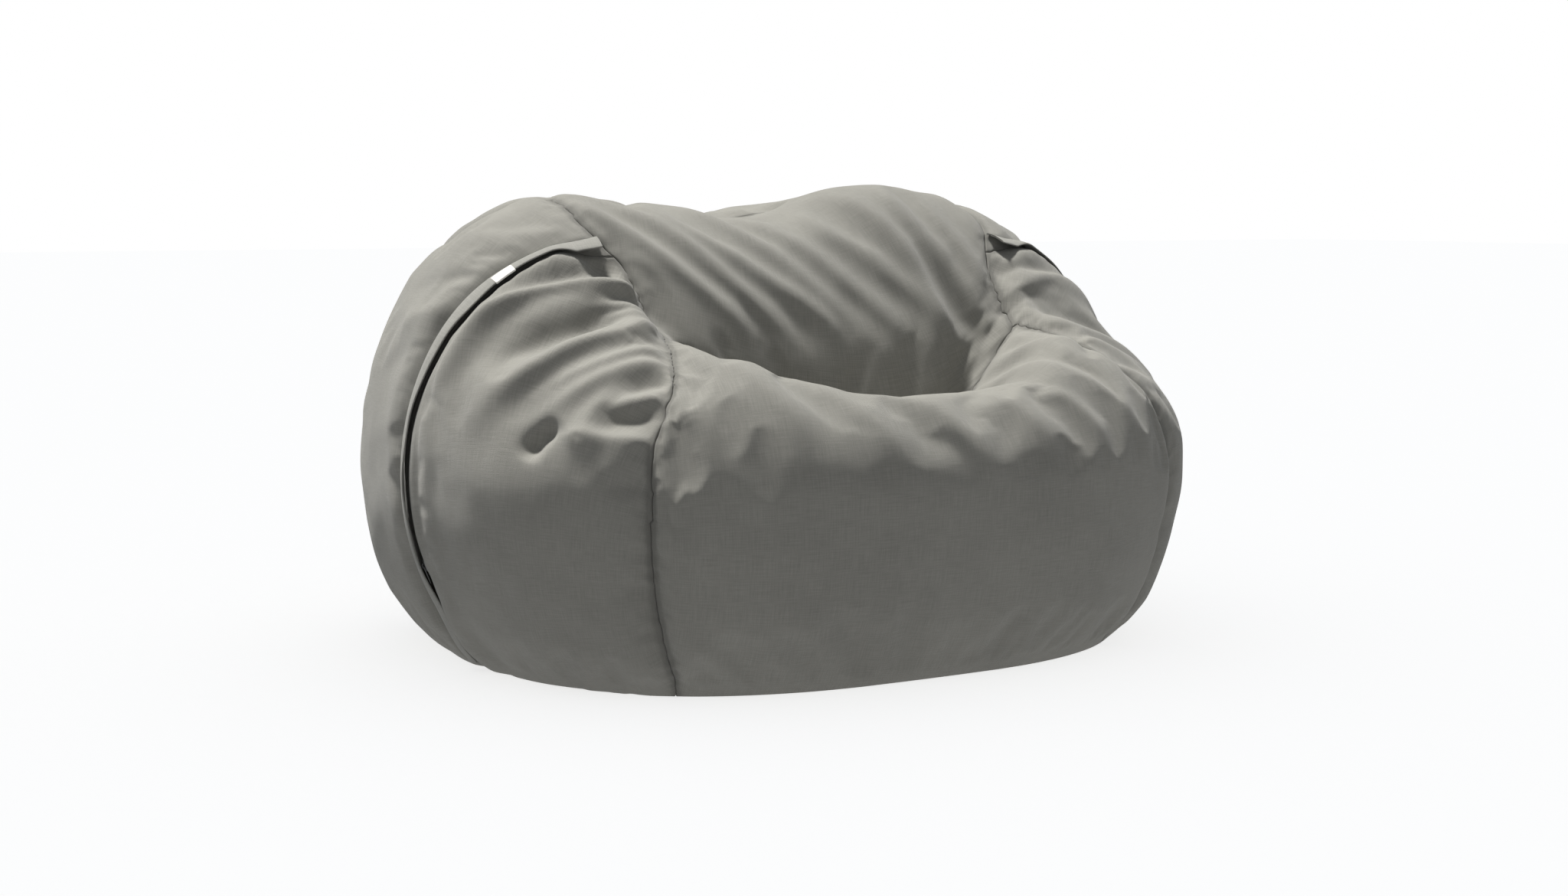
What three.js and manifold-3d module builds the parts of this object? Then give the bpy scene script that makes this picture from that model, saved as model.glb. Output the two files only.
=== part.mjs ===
// Bean bag chair: a low lounger with a wraparound rim, a seat hollow and a backrest roll.
//
// The outer cover is eight sewn panels. On each side the front edge of the shoulder panel is a folded hem
// that hangs over a curved zip, and the zip follows a true circular arc so that its slider can run along it.
// Inside are a two-part liner with its own straight zip and the bead filling.
//
// Units are millimetres. +Z is up, +X is to the sitter's left, and the sitter faces -Y.
// The origin is on the floor under the middle of the chair.
import * as THREE from 'three';
import { mergeVertices } from 'three/addons/utils/BufferGeometryUtils.js';
import Module from 'manifold-3d';

const wasm = await Module();
wasm.setup();

// ---- driving dimensions ----

// The filled bag: a rounded rectangle in plan, fullest at girthHeight, flat where it meets the floor.
const BAG = {
  halfWidth: 600,
  halfDepth: 515,
  planPower: 2.6, // 2 is an ellipse, more is squarer
  girthHeight: 273,
  edgePower: 2.15, // how the wall turns over into the top and under to the floor
  topTurn: 257, // how far in from the wall the top has turned level
  bottomTurn: 272,
  floorSink: 77, // how far the round underside would reach below the floor
};

// The rim round the seat: low in front, higher at the front corners, highest along the arms.
const RIM = {
  frontHeight: 433,
  cornerHeight: 479,
  armHeight: 649,
  cornerFrom: 80,
  cornerRun: 300,
  armFrom: -300,
  armRun: 380,
};

// The seat hollow, an oval dip behind the front rim.
const SEAT = { height: 270, halfWidth: 349, halfDepth: 287, centreY: -167, power: 2.4, rollIn: 0.15 };

// The backrest roll: its face foot, its crest, and how its top line runs.
const BACK = {
  height: 660,
  footY: -237,
  crestY: 59,
  footDrop: 120, // the roll's face goes on down below the seat by this much
  facePower: 2.3,
  middleDip: 23,
  dipWidth: 160,
  shoulderDrop: 77,
  shoulderFrom: 300,
  shoulderRun: 250,
  creaseBlend: 30,
};

// A point well inside the bag, from which every direction meets the surface once.
const CORE = new THREE.Vector3(0, -100, 50);

// Layers, measured inwards from the outer surface.
const COVER_THICKNESS = 3;
const LINER_DEPTH = 12;
const LINER_THICKNESS = 2;
const FILLING_DEPTH = 15;
const GAP = 0.3; // between pieces that touch
const FAR = 900; // beyond the bag in every direction
const SURFACE_CELLS = 11; // cells along each side of the surface grid's six patches

// Seams in plan, on the -X side. The +X side's are their mirror image. Each is a short run of points.
const FRONT_SEAM = [[-600, -565], [-430, -415], [-362, -355], [-300, -211]];
const BACK_SEAM = [[-300, -211], [-308, -150], [-323, -109], [-350, -51], [-345, 49], [-335, 100]];
const REAR_SEAM = [[-335, 100], [-420, 170], [-470, 320], [-500, 420], [-600, 600]];
const CREASE_MIDDLE_Y = -250;
const TOP_SEAM_MIDDLE_Y = 140;
const BASE_SEAM_SCALE = 0.79; // the base panel's outline against the bag's plan outline
const BASE_SEAM_SIDES = 40;
const BASE_SEAM_TOP = 20; // the base panel lies wholly below this height

// The side zips. Each lies on a circle in an upright plane that leans back from the backrest seam.
const ZIP = {
  planStart: [-323, -109], // where the flap meets the backrest seam
  planLean: THREE.MathUtils.degToRad(15.918), // how far the plane turns back from straight sideways
  centre: [-286.5, -119.4, 276],
  radius: 333.6,
  lowEnd: -26, // degrees above level, seen from the arc's centre
  highEnd: 66,
  halfWidth: 15, // tapes and teeth together
  tapeThickness: 1.5,
  teethHalfWidth: 3,
  teethThickness: 3.3,
  teethTop: 0.8, // above the zip's circle
  tapeTop: -0.5,
};
// Room round each zip, where the cover dips to hold it.
const CHANNEL = { floor: 0.4, side: 2, end: 1.5, reach: 80 };
// Where the cover is held to the zip's circle, across the zip and then along it.
const TRACK = { full: 26, fade: 90, lowFull: -30, lowFade: -44, highFull: 67, highFade: 80 };
const SLOT = { reach: 40, end: 0.1 }; // the opening in the cover that each zip fills

// The slider and its pull, on the zip's outer side. Heights are from the zip's circle.
const SLIDER = {
  angle: -21.5,
  length: 16,
  halfWidth: 6,
  flangeFoot: -0.1,
  plateFoot: 1.2,
  plateTop: 3.2,
  bailTop: 6.9,
  bailLength: 9,
  bailHalfWidth: 1.1,
  eyeLength: 5,
  eyeFoot: 3.6,
  eyeTop: 5.9,
  play: 0.4, // between the teeth and the slider's flanges
};
const PULL = {
  length: 28,
  halfWidth: 3.4,
  thickness: 1.5,
  armWidth: 1.6,
  windowLength: 7.5,
  pivotHeight: 4.75,
};

// The folded hem over each zip.
const FLAP = {
  foot: 7.5, // heights are from the cover's surface
  top: 10,
  front: -14, // places across the zip
  back: 16,
  wall: 2,
  lowEnd: -45, // degrees above level
  highEnd: 80,
  sideDepth: 12,
  step: 5,
  planLength: 420, // of the line in plan that parts the arm and shoulder panels
};
const LABEL = { angle: 55, length: 32, width: 21, thickness: 0.8, lip: 3, lift: 0.5 };

// The liner's own zip, straight, under the bag.
const LINER_ZIP = {
  halfLength: 260,
  halfWidth: 12,
  tape: 1.5,
  teethHalfWidth: 3,
  teeth: 2.6,
  teethDrop: 0.8, // below the liner's surface
  sliderLength: 14,
  slotTop: 30,
};
const LINER_SLIDER = { start: -240, halfWidth: 5.5, foot: 7.6, plate: 1.8, play: 0.4 };

// ---- finishes ----

const FINISHES = {
  cover: { color: 0x878680, roughness: 0.92, metalness: 0 },
  hem: { color: 0x8c8b85, roughness: 0.9, metalness: 0 },
  label: { color: 0xece9e2, roughness: 0.75, metalness: 0 },
  tape: { color: 0x5c5b57, roughness: 0.9, metalness: 0 },
  teeth: { color: 0x4c4b48, roughness: 0.5, metalness: 0 },
  slider: { color: 0x6a6a6a, roughness: 0.4, metalness: 0.8 },
  liner: { color: 0xe6e4de, roughness: 0.95, metalness: 0 },
  beads: { color: 0xf4f4f2, roughness: 0.8, metalness: 0 },
};

const chair = new THREE.Group();

// ---- the filled shape ----

function smoothStep(t) {
  const u = THREE.MathUtils.clamp(t, 0, 1);
  return u * u * (3 - 2 * u);
}

function smoothMax(a, b, blend) {
  const h = THREE.MathUtils.clamp(0.5 + (0.5 * (a - b)) / blend, 0, 1);
  return b * (1 - h) + a * h + blend * h * (1 - h);
}

// Height of the top surface, as if the side wall weren't there.
function topHeight(x, y) {
  const side = Math.abs(x);
  const rim =
    RIM.frontHeight +
    (RIM.cornerHeight - RIM.frontHeight) * smoothStep((side - RIM.cornerFrom) / RIM.cornerRun) +
    (RIM.armHeight - RIM.cornerHeight) * smoothStep((y - RIM.armFrom) / RIM.armRun);
  const acrossSeat = Math.pow(side / SEAT.halfWidth, SEAT.power);
  const alongSeat = Math.pow(Math.abs(y - SEAT.centreY) / SEAT.halfDepth, SEAT.power);
  const oval = Math.pow(acrossSeat + alongSeat, 1 / SEAT.power);
  const ring = SEAT.height + (rim - SEAT.height) * smoothStep((oval - SEAT.rollIn) / (1 - SEAT.rollIn));
  const climb = THREE.MathUtils.clamp((BACK.crestY - y) / (BACK.crestY - BACK.footY), 0, 1);
  const profile = Math.sqrt(Math.max(0, 1 - Math.pow(climb, BACK.facePower)));
  const crest =
    BACK.height -
    BACK.middleDip * Math.exp(-((x / BACK.dipWidth) ** 2)) -
    BACK.shoulderDrop * smoothStep((side - BACK.shoulderFrom) / BACK.shoulderRun);
  const foot = SEAT.height - BACK.footDrop;
  return smoothMax(ring, foot + (crest - foot) * profile, BACK.creaseBlend);
}

// Where a plan point lies against the bag's outline: 1 on it, less inside.
function planReach(x, y) {
  const power = BAG.planPower;
  const across = Math.pow(Math.abs(x / BAG.halfWidth), power);
  return Math.pow(across + Math.pow(Math.abs(y / BAG.halfDepth), power), 1 / power);
}

// The bag's full round shape, before the floor flattens its underside.
function isInside(x, y, z) {
  const fromWall = ((planReach(x, y) - 1) * (BAG.halfWidth + BAG.halfDepth)) / 2;
  const above = z > BAG.girthHeight;
  const turn = above ? BAG.topTurn : BAG.bottomTurn;
  const top = Math.max(topHeight(x, y), BAG.girthHeight + 20);
  const fullRise = above ? top - BAG.girthHeight : BAG.girthHeight + BAG.floorSink;
  const rise = Math.abs(z - BAG.girthHeight) / fullRise;
  const across = Math.max(0, (fromWall + turn) / turn);
  return Math.pow(across, BAG.edgePower) + Math.pow(rise, BAG.edgePower) < 1;
}

// How far along a direction the surface lies.
function reachAlong(start, direction) {
  const step = 12;
  const halvings = 22;
  const within = (distance) => {
    const point = start.clone().addScaledVector(direction, distance);
    return isInside(point.x, point.y, point.z);
  };
  let far = step;
  while (within(far)) far += step;
  let near = far - step;
  for (let halving = 0; halving < halvings; halving++) {
    const middle = (near + far) / 2;
    if (within(middle)) near = middle;
    else far = middle;
  }
  return near;
}

// ---- the zip's circle ----

const ZIP_CENTRE = new THREE.Vector3(...ZIP.centre);
const ZIP_OUT = new THREE.Vector3(-Math.cos(ZIP.planLean), Math.sin(ZIP.planLean), 0);
const UP = new THREE.Vector3(0, 0, 1);
const ZIP_BACK = new THREE.Vector3().crossVectors(ZIP_OUT, UP);
const ZIP_FRAME = new THREE.Matrix4().makeBasis(ZIP_OUT, UP, ZIP_BACK).setPosition(ZIP_CENTRE);

// 1 where the cover lies on the zip's circle, falling to 0 above and below the zip.
function trackHold(degrees) {
  const low = smoothStep((degrees - TRACK.lowFade) / (TRACK.lowFull - TRACK.lowFade));
  const high = smoothStep((TRACK.highFade - degrees) / (TRACK.highFade - TRACK.highFull));
  return low * high;
}

// Draws a surface point on the -X side to the zip's circle, close to the zip's plane.
function holdToTrack(point) {
  const offset = point.clone().sub(ZIP_CENTRE);
  const out = offset.dot(ZIP_OUT);
  const across = Math.abs(offset.dot(ZIP_BACK));
  const angle = THREE.MathUtils.radToDeg(Math.atan2(offset.z, out));
  const hold = trackHold(angle) * smoothStep((TRACK.fade - across) / (TRACK.fade - TRACK.full));
  if (out < 0 || hold === 0) return point;
  const radius = Math.hypot(out, offset.z);
  const change = ((ZIP.radius - radius) * hold) / radius;
  return point.clone().addScaledVector(ZIP_OUT, out * change).addScaledVector(UP, offset.z * change);
}

// The surface's distance from the zip's centre, in the zip's plane.
function flapRadius(degrees) {
  const angle = THREE.MathUtils.degToRad(degrees);
  const direction = ZIP_OUT.clone().multiplyScalar(Math.cos(angle)).addScaledVector(UP, Math.sin(angle));
  const radius = reachAlong(ZIP_CENTRE, direction);
  return radius + (ZIP.radius - radius) * trackHold(degrees);
}

// ---- closed solids ----

function toSolid(geometry) {
  const bare = geometry.clone();
  bare.deleteAttribute('normal');
  bare.deleteAttribute('uv');
  const merged = mergeVertices(bare, 1e-3);
  return new wasm.Manifold(
    new wasm.Mesh({
      numProp: 3,
      vertProperties: new Float32Array(merged.attributes.position.array),
      triVerts: new Uint32Array(merged.index.array),
    }),
  );
}

function toGeometry(solid) {
  const mesh = solid.getMesh();
  const geometry = new THREE.BufferGeometry();
  geometry.setAttribute('position', new THREE.BufferAttribute(mesh.vertProperties, 3));
  geometry.setIndex(new THREE.BufferAttribute(mesh.triVerts, 1));
  geometry.computeVertexNormals();
  return geometry;
}

function addPiece(name, solid, finish) {
  const mesh = new THREE.Mesh(toGeometry(solid), new THREE.MeshStandardMaterial(FINISHES[finish]));
  mesh.name = name;
  chair.add(mesh);
}

// Adds a zip piece made for the -X side, the sitter's right, and its mirror image for the left.
function addPair(name, solid, finish) {
  addPiece(`right_${name}`, solid, finish);
  addPiece(`left_${name}`, solid.mirror([1, 0, 0]), finish);
}

function box(low, high) {
  const geometry = new THREE.BoxGeometry(high[0] - low[0], high[1] - low[1], high[2] - low[2]);
  geometry.translate((low[0] + high[0]) / 2, (low[1] + high[1]) / 2, (low[2] + high[2]) / 2);
  return toSolid(geometry);
}

function upright(outline, low = -FAR, high = FAR) {
  const shape = new THREE.Shape(outline.map(([x, y]) => new THREE.Vector2(x, y)));
  const geometry = new THREE.ExtrudeGeometry(shape, { depth: high - low, bevelEnabled: false });
  geometry.translate(0, 0, low);
  return toSolid(geometry);
}

// An outline drawn in by a distance, with mitred corners.
function drawnIn(outline, distance) {
  const count = outline.length;
  const corners = outline.map(([x, y]) => new THREE.Vector2(x, y));
  const turn = Math.sign(THREE.ShapeUtils.area(corners));
  return corners.map((corner, i) => {
    const before = corner.clone().sub(corners[(i + count - 1) % count]).normalize();
    const after = corners[(i + 1) % count].clone().sub(corner).normalize();
    const inward = (edge) => new THREE.Vector2(-edge.y, edge.x).multiplyScalar(turn);
    const miter = inward(before).add(inward(after));
    const moved = corner.clone().addScaledVector(miter, (2 * distance) / miter.lengthSq());
    return [moved.x, moved.y];
  });
}

// The round bag's surface as a grid. Every layer uses the same grid, so layers never cross.
const skin = (() => {
  const grid = new THREE.BoxGeometry(2, 2, 2, SURFACE_CELLS, SURFACE_CELLS, SURFACE_CELLS);
  grid.deleteAttribute('normal');
  grid.deleteAttribute('uv');
  const merged = mergeVertices(grid, 1e-4);
  const places = merged.attributes.position;
  const point = new THREE.Vector3();
  for (let i = 0; i < places.count; i++) {
    point.fromBufferAttribute(places, i);
    const direction = point.multiply(new THREE.Vector3(1.2, 1, 0.75)).normalize().clone();
    const side = direction.x > 0 ? -1 : 1;
    direction.x *= side;
    const onBag = CORE.clone().addScaledVector(direction, reachAlong(CORE, direction));
    const held = holdToTrack(onBag);
    places.setXYZ(i, held.x * side, held.y, held.z);
  }
  merged.computeVertexNormals();
  return merged;
})();

// The solid bag at a depth below its outer surface: flat on the floor, with a channel along each side zip.
function bagAtDepth(depth) {
  const layer = skin.clone();
  const places = layer.attributes.position;
  const normals = skin.attributes.normal;
  for (let i = 0; i < places.count; i++) {
    places.setXYZ(
      i,
      places.getX(i) - normals.getX(i) * depth,
      places.getY(i) - normals.getY(i) * depth,
      places.getZ(i) - normals.getZ(i) * depth,
    );
  }
  const reach = ZIP.halfWidth + CHANNEL.side + depth;
  const turn = THREE.MathUtils.radToDeg((CHANNEL.end + depth) / ZIP.radius);
  const floor = ZIP.radius - CHANNEL.floor - depth;
  const top = ZIP.radius + CHANNEL.reach;
  const channel = arcBand(floor, top, -reach, reach, ZIP.lowEnd - turn, ZIP.highEnd + turn, 6);
  return toSolid(layer)
    .intersect(box([-FAR, -FAR, depth], [FAR, FAR, FAR]))
    .subtract(channel)
    .subtract(channel.mirror([1, 0, 0]));
}

// ---- pieces made along the zip's circle ----

// A band round the zip's centre, between two radii, two places across the zip and two angles in degrees.
function arcBand(innerRadius, outerRadius, front, back, low, high, segments = 16) {
  const from = THREE.MathUtils.degToRad(low);
  const to = THREE.MathUtils.degToRad(high);
  const shape = new THREE.Shape();
  shape.absarc(0, 0, outerRadius, from, to, false);
  shape.absarc(0, 0, innerRadius, to, from, true);
  const geometry = new THREE.ExtrudeGeometry(shape, {
    depth: back - front,
    bevelEnabled: false,
    curveSegments: segments,
  });
  geometry.translate(0, 0, front);
  geometry.applyMatrix4(ZIP_FRAME);
  return toSolid(geometry);
}

// A band that follows the cover instead of the circle, between two heights above it.
function flapBand(foot, top, front, back) {
  const rays = [];
  for (let degrees = FLAP.lowEnd; degrees <= FLAP.highEnd; degrees += FLAP.step) {
    const angle = THREE.MathUtils.degToRad(degrees);
    rays.push({ out: new THREE.Vector2(Math.cos(angle), Math.sin(angle)), radius: flapRadius(degrees) });
  }
  const edge = (height) => rays.map((ray) => ray.out.clone().multiplyScalar(ray.radius + height));
  const shape = new THREE.Shape([...edge(top), ...edge(foot).reverse()]);
  const geometry = new THREE.ExtrudeGeometry(shape, { depth: back - front, bevelEnabled: false });
  geometry.translate(0, 0, front);
  geometry.applyMatrix4(ZIP_FRAME);
  return toSolid(geometry);
}

// A box beside the zip's circle at one angle: along the zip, out from the circle, and across the zip.
function besideZip(degrees, along, out, across) {
  const geometry = new THREE.BoxGeometry(out[1] - out[0], along[1] - along[0], across[1] - across[0]);
  const middle = (range) => (range[0] + range[1]) / 2;
  geometry.translate(ZIP.radius + middle(out), middle(along), middle(across));
  geometry.rotateZ(THREE.MathUtils.degToRad(degrees));
  geometry.applyMatrix4(ZIP_FRAME);
  return toSolid(geometry);
}

function zipSlider() {
  const half = SLIDER.length / 2;
  const wide = SLIDER.halfWidth;
  const bail = SLIDER.bailLength / 2;
  const bailWide = SLIDER.bailHalfWidth;
  const channel = ZIP.teethHalfWidth + SLIDER.play;
  const eye = SLIDER.eyeLength / 2;
  const body = besideZip(SLIDER.angle, [-half, half], [SLIDER.flangeFoot, SLIDER.plateTop], [-wide, wide]);
  const run = besideZip(SLIDER.angle, [-half - 1, half + 1], [-wide, SLIDER.plateFoot], [-channel, channel]);
  const bar = besideZip(SLIDER.angle, [-bail, bail], [SLIDER.plateTop - 1, SLIDER.bailTop], [-bailWide, bailWide]);
  const hole = besideZip(SLIDER.angle, [-eye, eye], [SLIDER.eyeFoot, SLIDER.eyeTop], [-wide, wide]);
  return body.subtract(run).add(bar).subtract(hole);
}

function zipPull() {
  const half = PULL.thickness / 2;
  const wide = PULL.halfWidth;
  const inner = wide - PULL.armWidth;
  const height = [PULL.pivotHeight - half, PULL.pivotHeight + half];
  const tab = besideZip(SLIDER.angle, [half - PULL.length, half], height, [-wide, wide]);
  const through = [height[0] - 1, height[1] + 1];
  const window = besideZip(SLIDER.angle, [-half - PULL.windowLength, -half], through, [-inner, inner]);
  return tab.subtract(window);
}

// ---- assembly ----

const outer = bagAtDepth(0);
const mirrored = (points) => points.map(([x, y]) => [-x, y]);
const backwards = (points) => [...points].reverse();
const flapFar = [ZIP.planStart[0] + ZIP_OUT.x * FLAP.planLength, ZIP.planStart[1] + ZIP_OUT.y * FLAP.planLength];

function buildCover() {
  const seamGap = GAP * 0.75; // half of what parts two panels
  const baseOutline = [];
  for (let i = 0; i < BASE_SEAM_SIDES; i++) {
    const angle = (i / BASE_SEAM_SIDES) * 2 * Math.PI;
    const reach = BASE_SEAM_SCALE / planReach(Math.cos(angle), Math.sin(angle));
    baseOutline.push([reach * Math.cos(angle), reach * Math.sin(angle)]);
  }
  let shell = outer.subtract(bagAtDepth(COVER_THICKNESS));
  const base = upright(drawnIn(baseOutline, seamGap), -FAR, BASE_SEAM_TOP);
  addPiece('base_panel', shell.intersect(base), 'cover');
  shell = shell.subtract(upright(drawnIn(baseOutline, -seamGap), -FAR, BASE_SEAM_TOP));
  const edge = ZIP.halfWidth + GAP;
  const slot = arcBand(
    ZIP.radius - SLOT.reach,
    ZIP.radius + SLOT.reach,
    -edge,
    edge,
    ZIP.lowEnd - SLOT.end,
    ZIP.highEnd + SLOT.end,
    2,
  );
  shell = shell.subtract(slot).subtract(slot.mirror([1, 0, 0]));

  const wide = BAG.halfWidth;
  const front = [
    ...FRONT_SEAM,
    [0, CREASE_MIDDLE_Y],
    ...backwards(mirrored(FRONT_SEAM)),
    [wide, -FAR],
    [-wide, -FAR],
  ];
  const backrest = [
    ...backwards(BACK_SEAM),
    [0, CREASE_MIDDLE_Y],
    ...mirrored(BACK_SEAM),
    [0, TOP_SEAM_MIDDLE_Y],
  ];
  const rear = [
    ...REAR_SEAM,
    [-wide, FAR],
    [wide, FAR],
    ...backwards(mirrored(REAR_SEAM)),
    [0, TOP_SEAM_MIDDLE_Y],
  ];
  const toFlap = BACK_SEAM.slice(0, 3);
  const fromFlap = BACK_SEAM.slice(2);
  const beside = [-FAR, flapFar[1]];
  const arm = [...FRONT_SEAM, ...toFlap.slice(1), flapFar, beside, [-FAR, -FAR], [-wide, -FAR]];
  const shoulder = [...fromFlap, ...REAR_SEAM.slice(1), [-FAR, FAR], beside, flapFar];

  const panel = (outline) => shell.intersect(upright(drawnIn(outline, seamGap)));
  addPiece('front_seat_panel', panel(front), 'cover');
  addPiece('backrest_panel', panel(backrest), 'cover');
  addPiece('rear_panel', panel(rear), 'cover');
  addPiece('right_arm_panel', panel(arm), 'cover');
  addPiece('left_arm_panel', panel(mirrored(arm)), 'cover');
  addPiece('right_shoulder_panel', panel(shoulder), 'cover');
  addPiece('left_shoulder_panel', panel(mirrored(shoulder)), 'cover');
}

function buildSideZips() {
  const { halfWidth, teethHalfWidth, lowEnd, highEnd } = ZIP;
  const alongZip = (top, thickness, front, back) => {
    const outerRadius = ZIP.radius + top;
    return arcBand(outerRadius - thickness, outerRadius, front, back, lowEnd, highEnd);
  };
  const tapeEdge = teethHalfWidth + GAP;
  addPair('zip_front_tape', alongZip(ZIP.tapeTop, ZIP.tapeThickness, -halfWidth, -tapeEdge), 'tape');
  addPair('zip_rear_tape', alongZip(ZIP.tapeTop, ZIP.tapeThickness, tapeEdge, halfWidth), 'tape');
  const teeth = alongZip(ZIP.teethTop, ZIP.teethThickness, -teethHalfWidth, teethHalfWidth);
  addPair('zip_teeth', teeth, 'teeth');
  addPair('zip_slider', zipSlider(), 'slider');
  addPair('zip_pull', zipPull(), 'slider');

  const clearOfCover = bagAtDepth(-GAP);
  const hem = flapBand(FLAP.foot, FLAP.top, FLAP.front, FLAP.back);
  const hemSide = flapBand(-FLAP.sideDepth, FLAP.top, FLAP.back - FLAP.wall, FLAP.back);
  const clear = halfWidth + CHANNEL.side;
  const under = ZIP.radius + FLAP.foot - 1;
  const overZip = arcBand(ZIP.radius - SLOT.reach, under, -clear, clear, lowEnd - 1, highEnd + 1);
  const flap = hem.add(hemSide.subtract(overZip));
  addPiece('right_zip_flap', flap.subtract(clearOfCover), 'hem');
  addPiece('left_zip_flap', flap.mirror([1, 0, 0]).subtract(clearOfCover), 'hem');

  const half = LABEL.length / 2;
  const foot = FLAP.top + GAP + LABEL.lift;
  const top = foot + LABEL.thickness;
  const front = FLAP.front - GAP - LABEL.thickness;
  const face = besideZip(LABEL.angle, [-half, half], [foot, top], [front, front + LABEL.width]);
  const lip = [front, front + LABEL.thickness];
  addPiece('label_tag', face.add(besideZip(LABEL.angle, [-half, half], [top - LABEL.lip, top], lip)), 'label');
}

function buildLiner() {
  const { halfLength, halfWidth, teethHalfWidth } = LINER_ZIP;
  const shell = bagAtDepth(LINER_DEPTH).subtract(bagAtDepth(LINER_DEPTH + LINER_THICKNESS));
  const long = halfLength + GAP;
  const wideSlot = halfWidth + GAP;
  const open = shell.subtract(box([-long, -wideSlot, 0], [long, wideSlot, LINER_ZIP.slotTop]));
  addPiece('liner_front', open.intersect(box([-FAR, -FAR, 0], [FAR, -GAP / 2, FAR])), 'liner');
  addPiece('liner_rear', open.intersect(box([-FAR, GAP / 2, 0], [FAR, FAR, FAR])), 'liner');

  const alongZip = (front, back, foot, top) => box([-halfLength, front, foot], [halfLength, back, top]);
  const tapeFoot = LINER_DEPTH;
  const tapeTop = tapeFoot + LINER_ZIP.tape;
  const tapeEdge = teethHalfWidth + GAP;
  addPiece('liner_zip_front_tape', alongZip(-halfWidth, -tapeEdge, tapeFoot, tapeTop), 'tape');
  addPiece('liner_zip_rear_tape', alongZip(tapeEdge, halfWidth, tapeFoot, tapeTop), 'tape');
  const teethFoot = LINER_DEPTH - LINER_ZIP.teethDrop;
  const teethTop = teethFoot + LINER_ZIP.teeth;
  addPiece('liner_zip_teeth', alongZip(-teethHalfWidth, teethHalfWidth, teethFoot, teethTop), 'teeth');

  const low = LINER_SLIDER.start - LINER_ZIP.sliderLength / 2;
  const high = LINER_SLIDER.start + LINER_ZIP.sliderLength / 2;
  const wide = LINER_SLIDER.halfWidth;
  const channel = teethHalfWidth + LINER_SLIDER.play;
  const plateTop = LINER_SLIDER.foot + LINER_SLIDER.plate;
  const body = box([low, -wide, LINER_SLIDER.foot], [high, wide, LINER_DEPTH - GAP]);
  const run = box([low - 1, -channel, plateTop], [high + 1, channel, LINER_DEPTH + 1]);
  addPiece('liner_zip_slider', body.subtract(run), 'slider');
}

buildCover();
buildSideZips();
buildLiner();
addPiece('bead_filling', bagAtDepth(FILLING_DEPTH), 'beads');

export default chair;
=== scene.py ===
"""Bean bag chair: sewn cover panels, folded zip flaps, zips, label, liner and filling.

Laid out as an add-on and run as a script. Units are metres, +Z is up and the sitter faces -Y.
"Right" and "left" are the sitter's, so right is -X. Most sub-parts are made for the right side and mirrored.
"""

import math

import bmesh
import bpy
import numpy as np
from bpy.props import FloatProperty, FloatVectorProperty, IntProperty, PointerProperty
from mathutils import Matrix, Vector
from mathutils.kdtree import KDTree


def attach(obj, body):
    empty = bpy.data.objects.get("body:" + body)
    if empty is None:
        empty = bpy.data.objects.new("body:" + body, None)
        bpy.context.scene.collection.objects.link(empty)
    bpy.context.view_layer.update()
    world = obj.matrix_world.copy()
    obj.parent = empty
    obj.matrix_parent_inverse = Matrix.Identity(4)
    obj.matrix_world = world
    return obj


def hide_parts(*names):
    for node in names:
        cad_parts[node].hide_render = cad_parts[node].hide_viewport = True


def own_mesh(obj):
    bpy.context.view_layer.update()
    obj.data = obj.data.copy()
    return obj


bl_info = {
    "name": "Bean Bag Chair",
    "version": (1, 0, 0),
    "blender": (4, 5, 0),
    "location": "View3D > Sidebar > Bean Bag",
    "description": "Builds a bean bag lounger round its packed frame",
    "category": "Object",
}

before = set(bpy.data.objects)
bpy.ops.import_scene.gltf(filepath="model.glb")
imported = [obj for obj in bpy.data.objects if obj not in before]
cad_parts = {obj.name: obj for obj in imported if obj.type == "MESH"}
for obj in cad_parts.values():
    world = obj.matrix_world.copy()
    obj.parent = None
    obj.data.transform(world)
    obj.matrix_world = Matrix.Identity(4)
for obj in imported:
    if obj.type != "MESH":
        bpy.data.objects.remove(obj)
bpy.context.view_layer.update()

MM = 0.001

# ---- the filled bag's form, as in the frame ----

HALF_WIDTH, HALF_DEPTH = 0.600, 0.515
PLAN_POWER, EDGE_POWER = 2.6, 2.15
GIRTH_HEIGHT, TOP_TURN, BOTTOM_TURN, FLOOR_SINK = 0.273, 0.257, 0.272, 0.077
RIM_FRONT, RIM_CORNER, RIM_ARM = 0.433, 0.479, 0.649
CORNER_FROM, CORNER_RUN, ARM_FROM, ARM_RUN = 0.080, 0.300, -0.300, 0.380
SEAT_HEIGHT, SEAT_HALF_WIDTH, SEAT_HALF_DEPTH, SEAT_Y, SEAT_POWER = 0.270, 0.349, 0.287, -0.167, 2.4
SEAT_ROLL_IN = 0.15
BACK_HEIGHT, BACK_FOOT_Y, BACK_CREST_Y, BACK_FOOT_DROP, BACK_POWER = 0.660, -0.237, 0.059, 0.120, 2.3
MIDDLE_DIP, DIP_WIDTH, SHOULDER_DROP, SHOULDER_FROM, SHOULDER_RUN = 0.023, 0.160, 0.077, 0.300, 0.250
CREASE_BLEND = 0.030
CORE = np.array([0.0, -0.100, 0.050])  # a point inside that sees the whole surface

# ---- seams, in plan, on the right side ----

FRONT_SEAM = [(-0.600, -0.565), (-0.430, -0.415), (-0.362, -0.355), (-0.300, -0.211)]
BACK_SEAM = [(-0.300, -0.211), (-0.308, -0.150), (-0.323, -0.109), (-0.350, -0.051), (-0.345, 0.049),
             (-0.335, 0.100)]
REAR_SEAM = [(-0.335, 0.100), (-0.420, 0.170), (-0.470, 0.320), (-0.500, 0.420), (-0.600, 0.600)]
CREASE_MIDDLE, TOP_SEAM_MIDDLE = (0.0, -0.250), (0.0, 0.140)
BASE_SEAM_SCALE = 0.79

# ---- the side zip's circle ----

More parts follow.
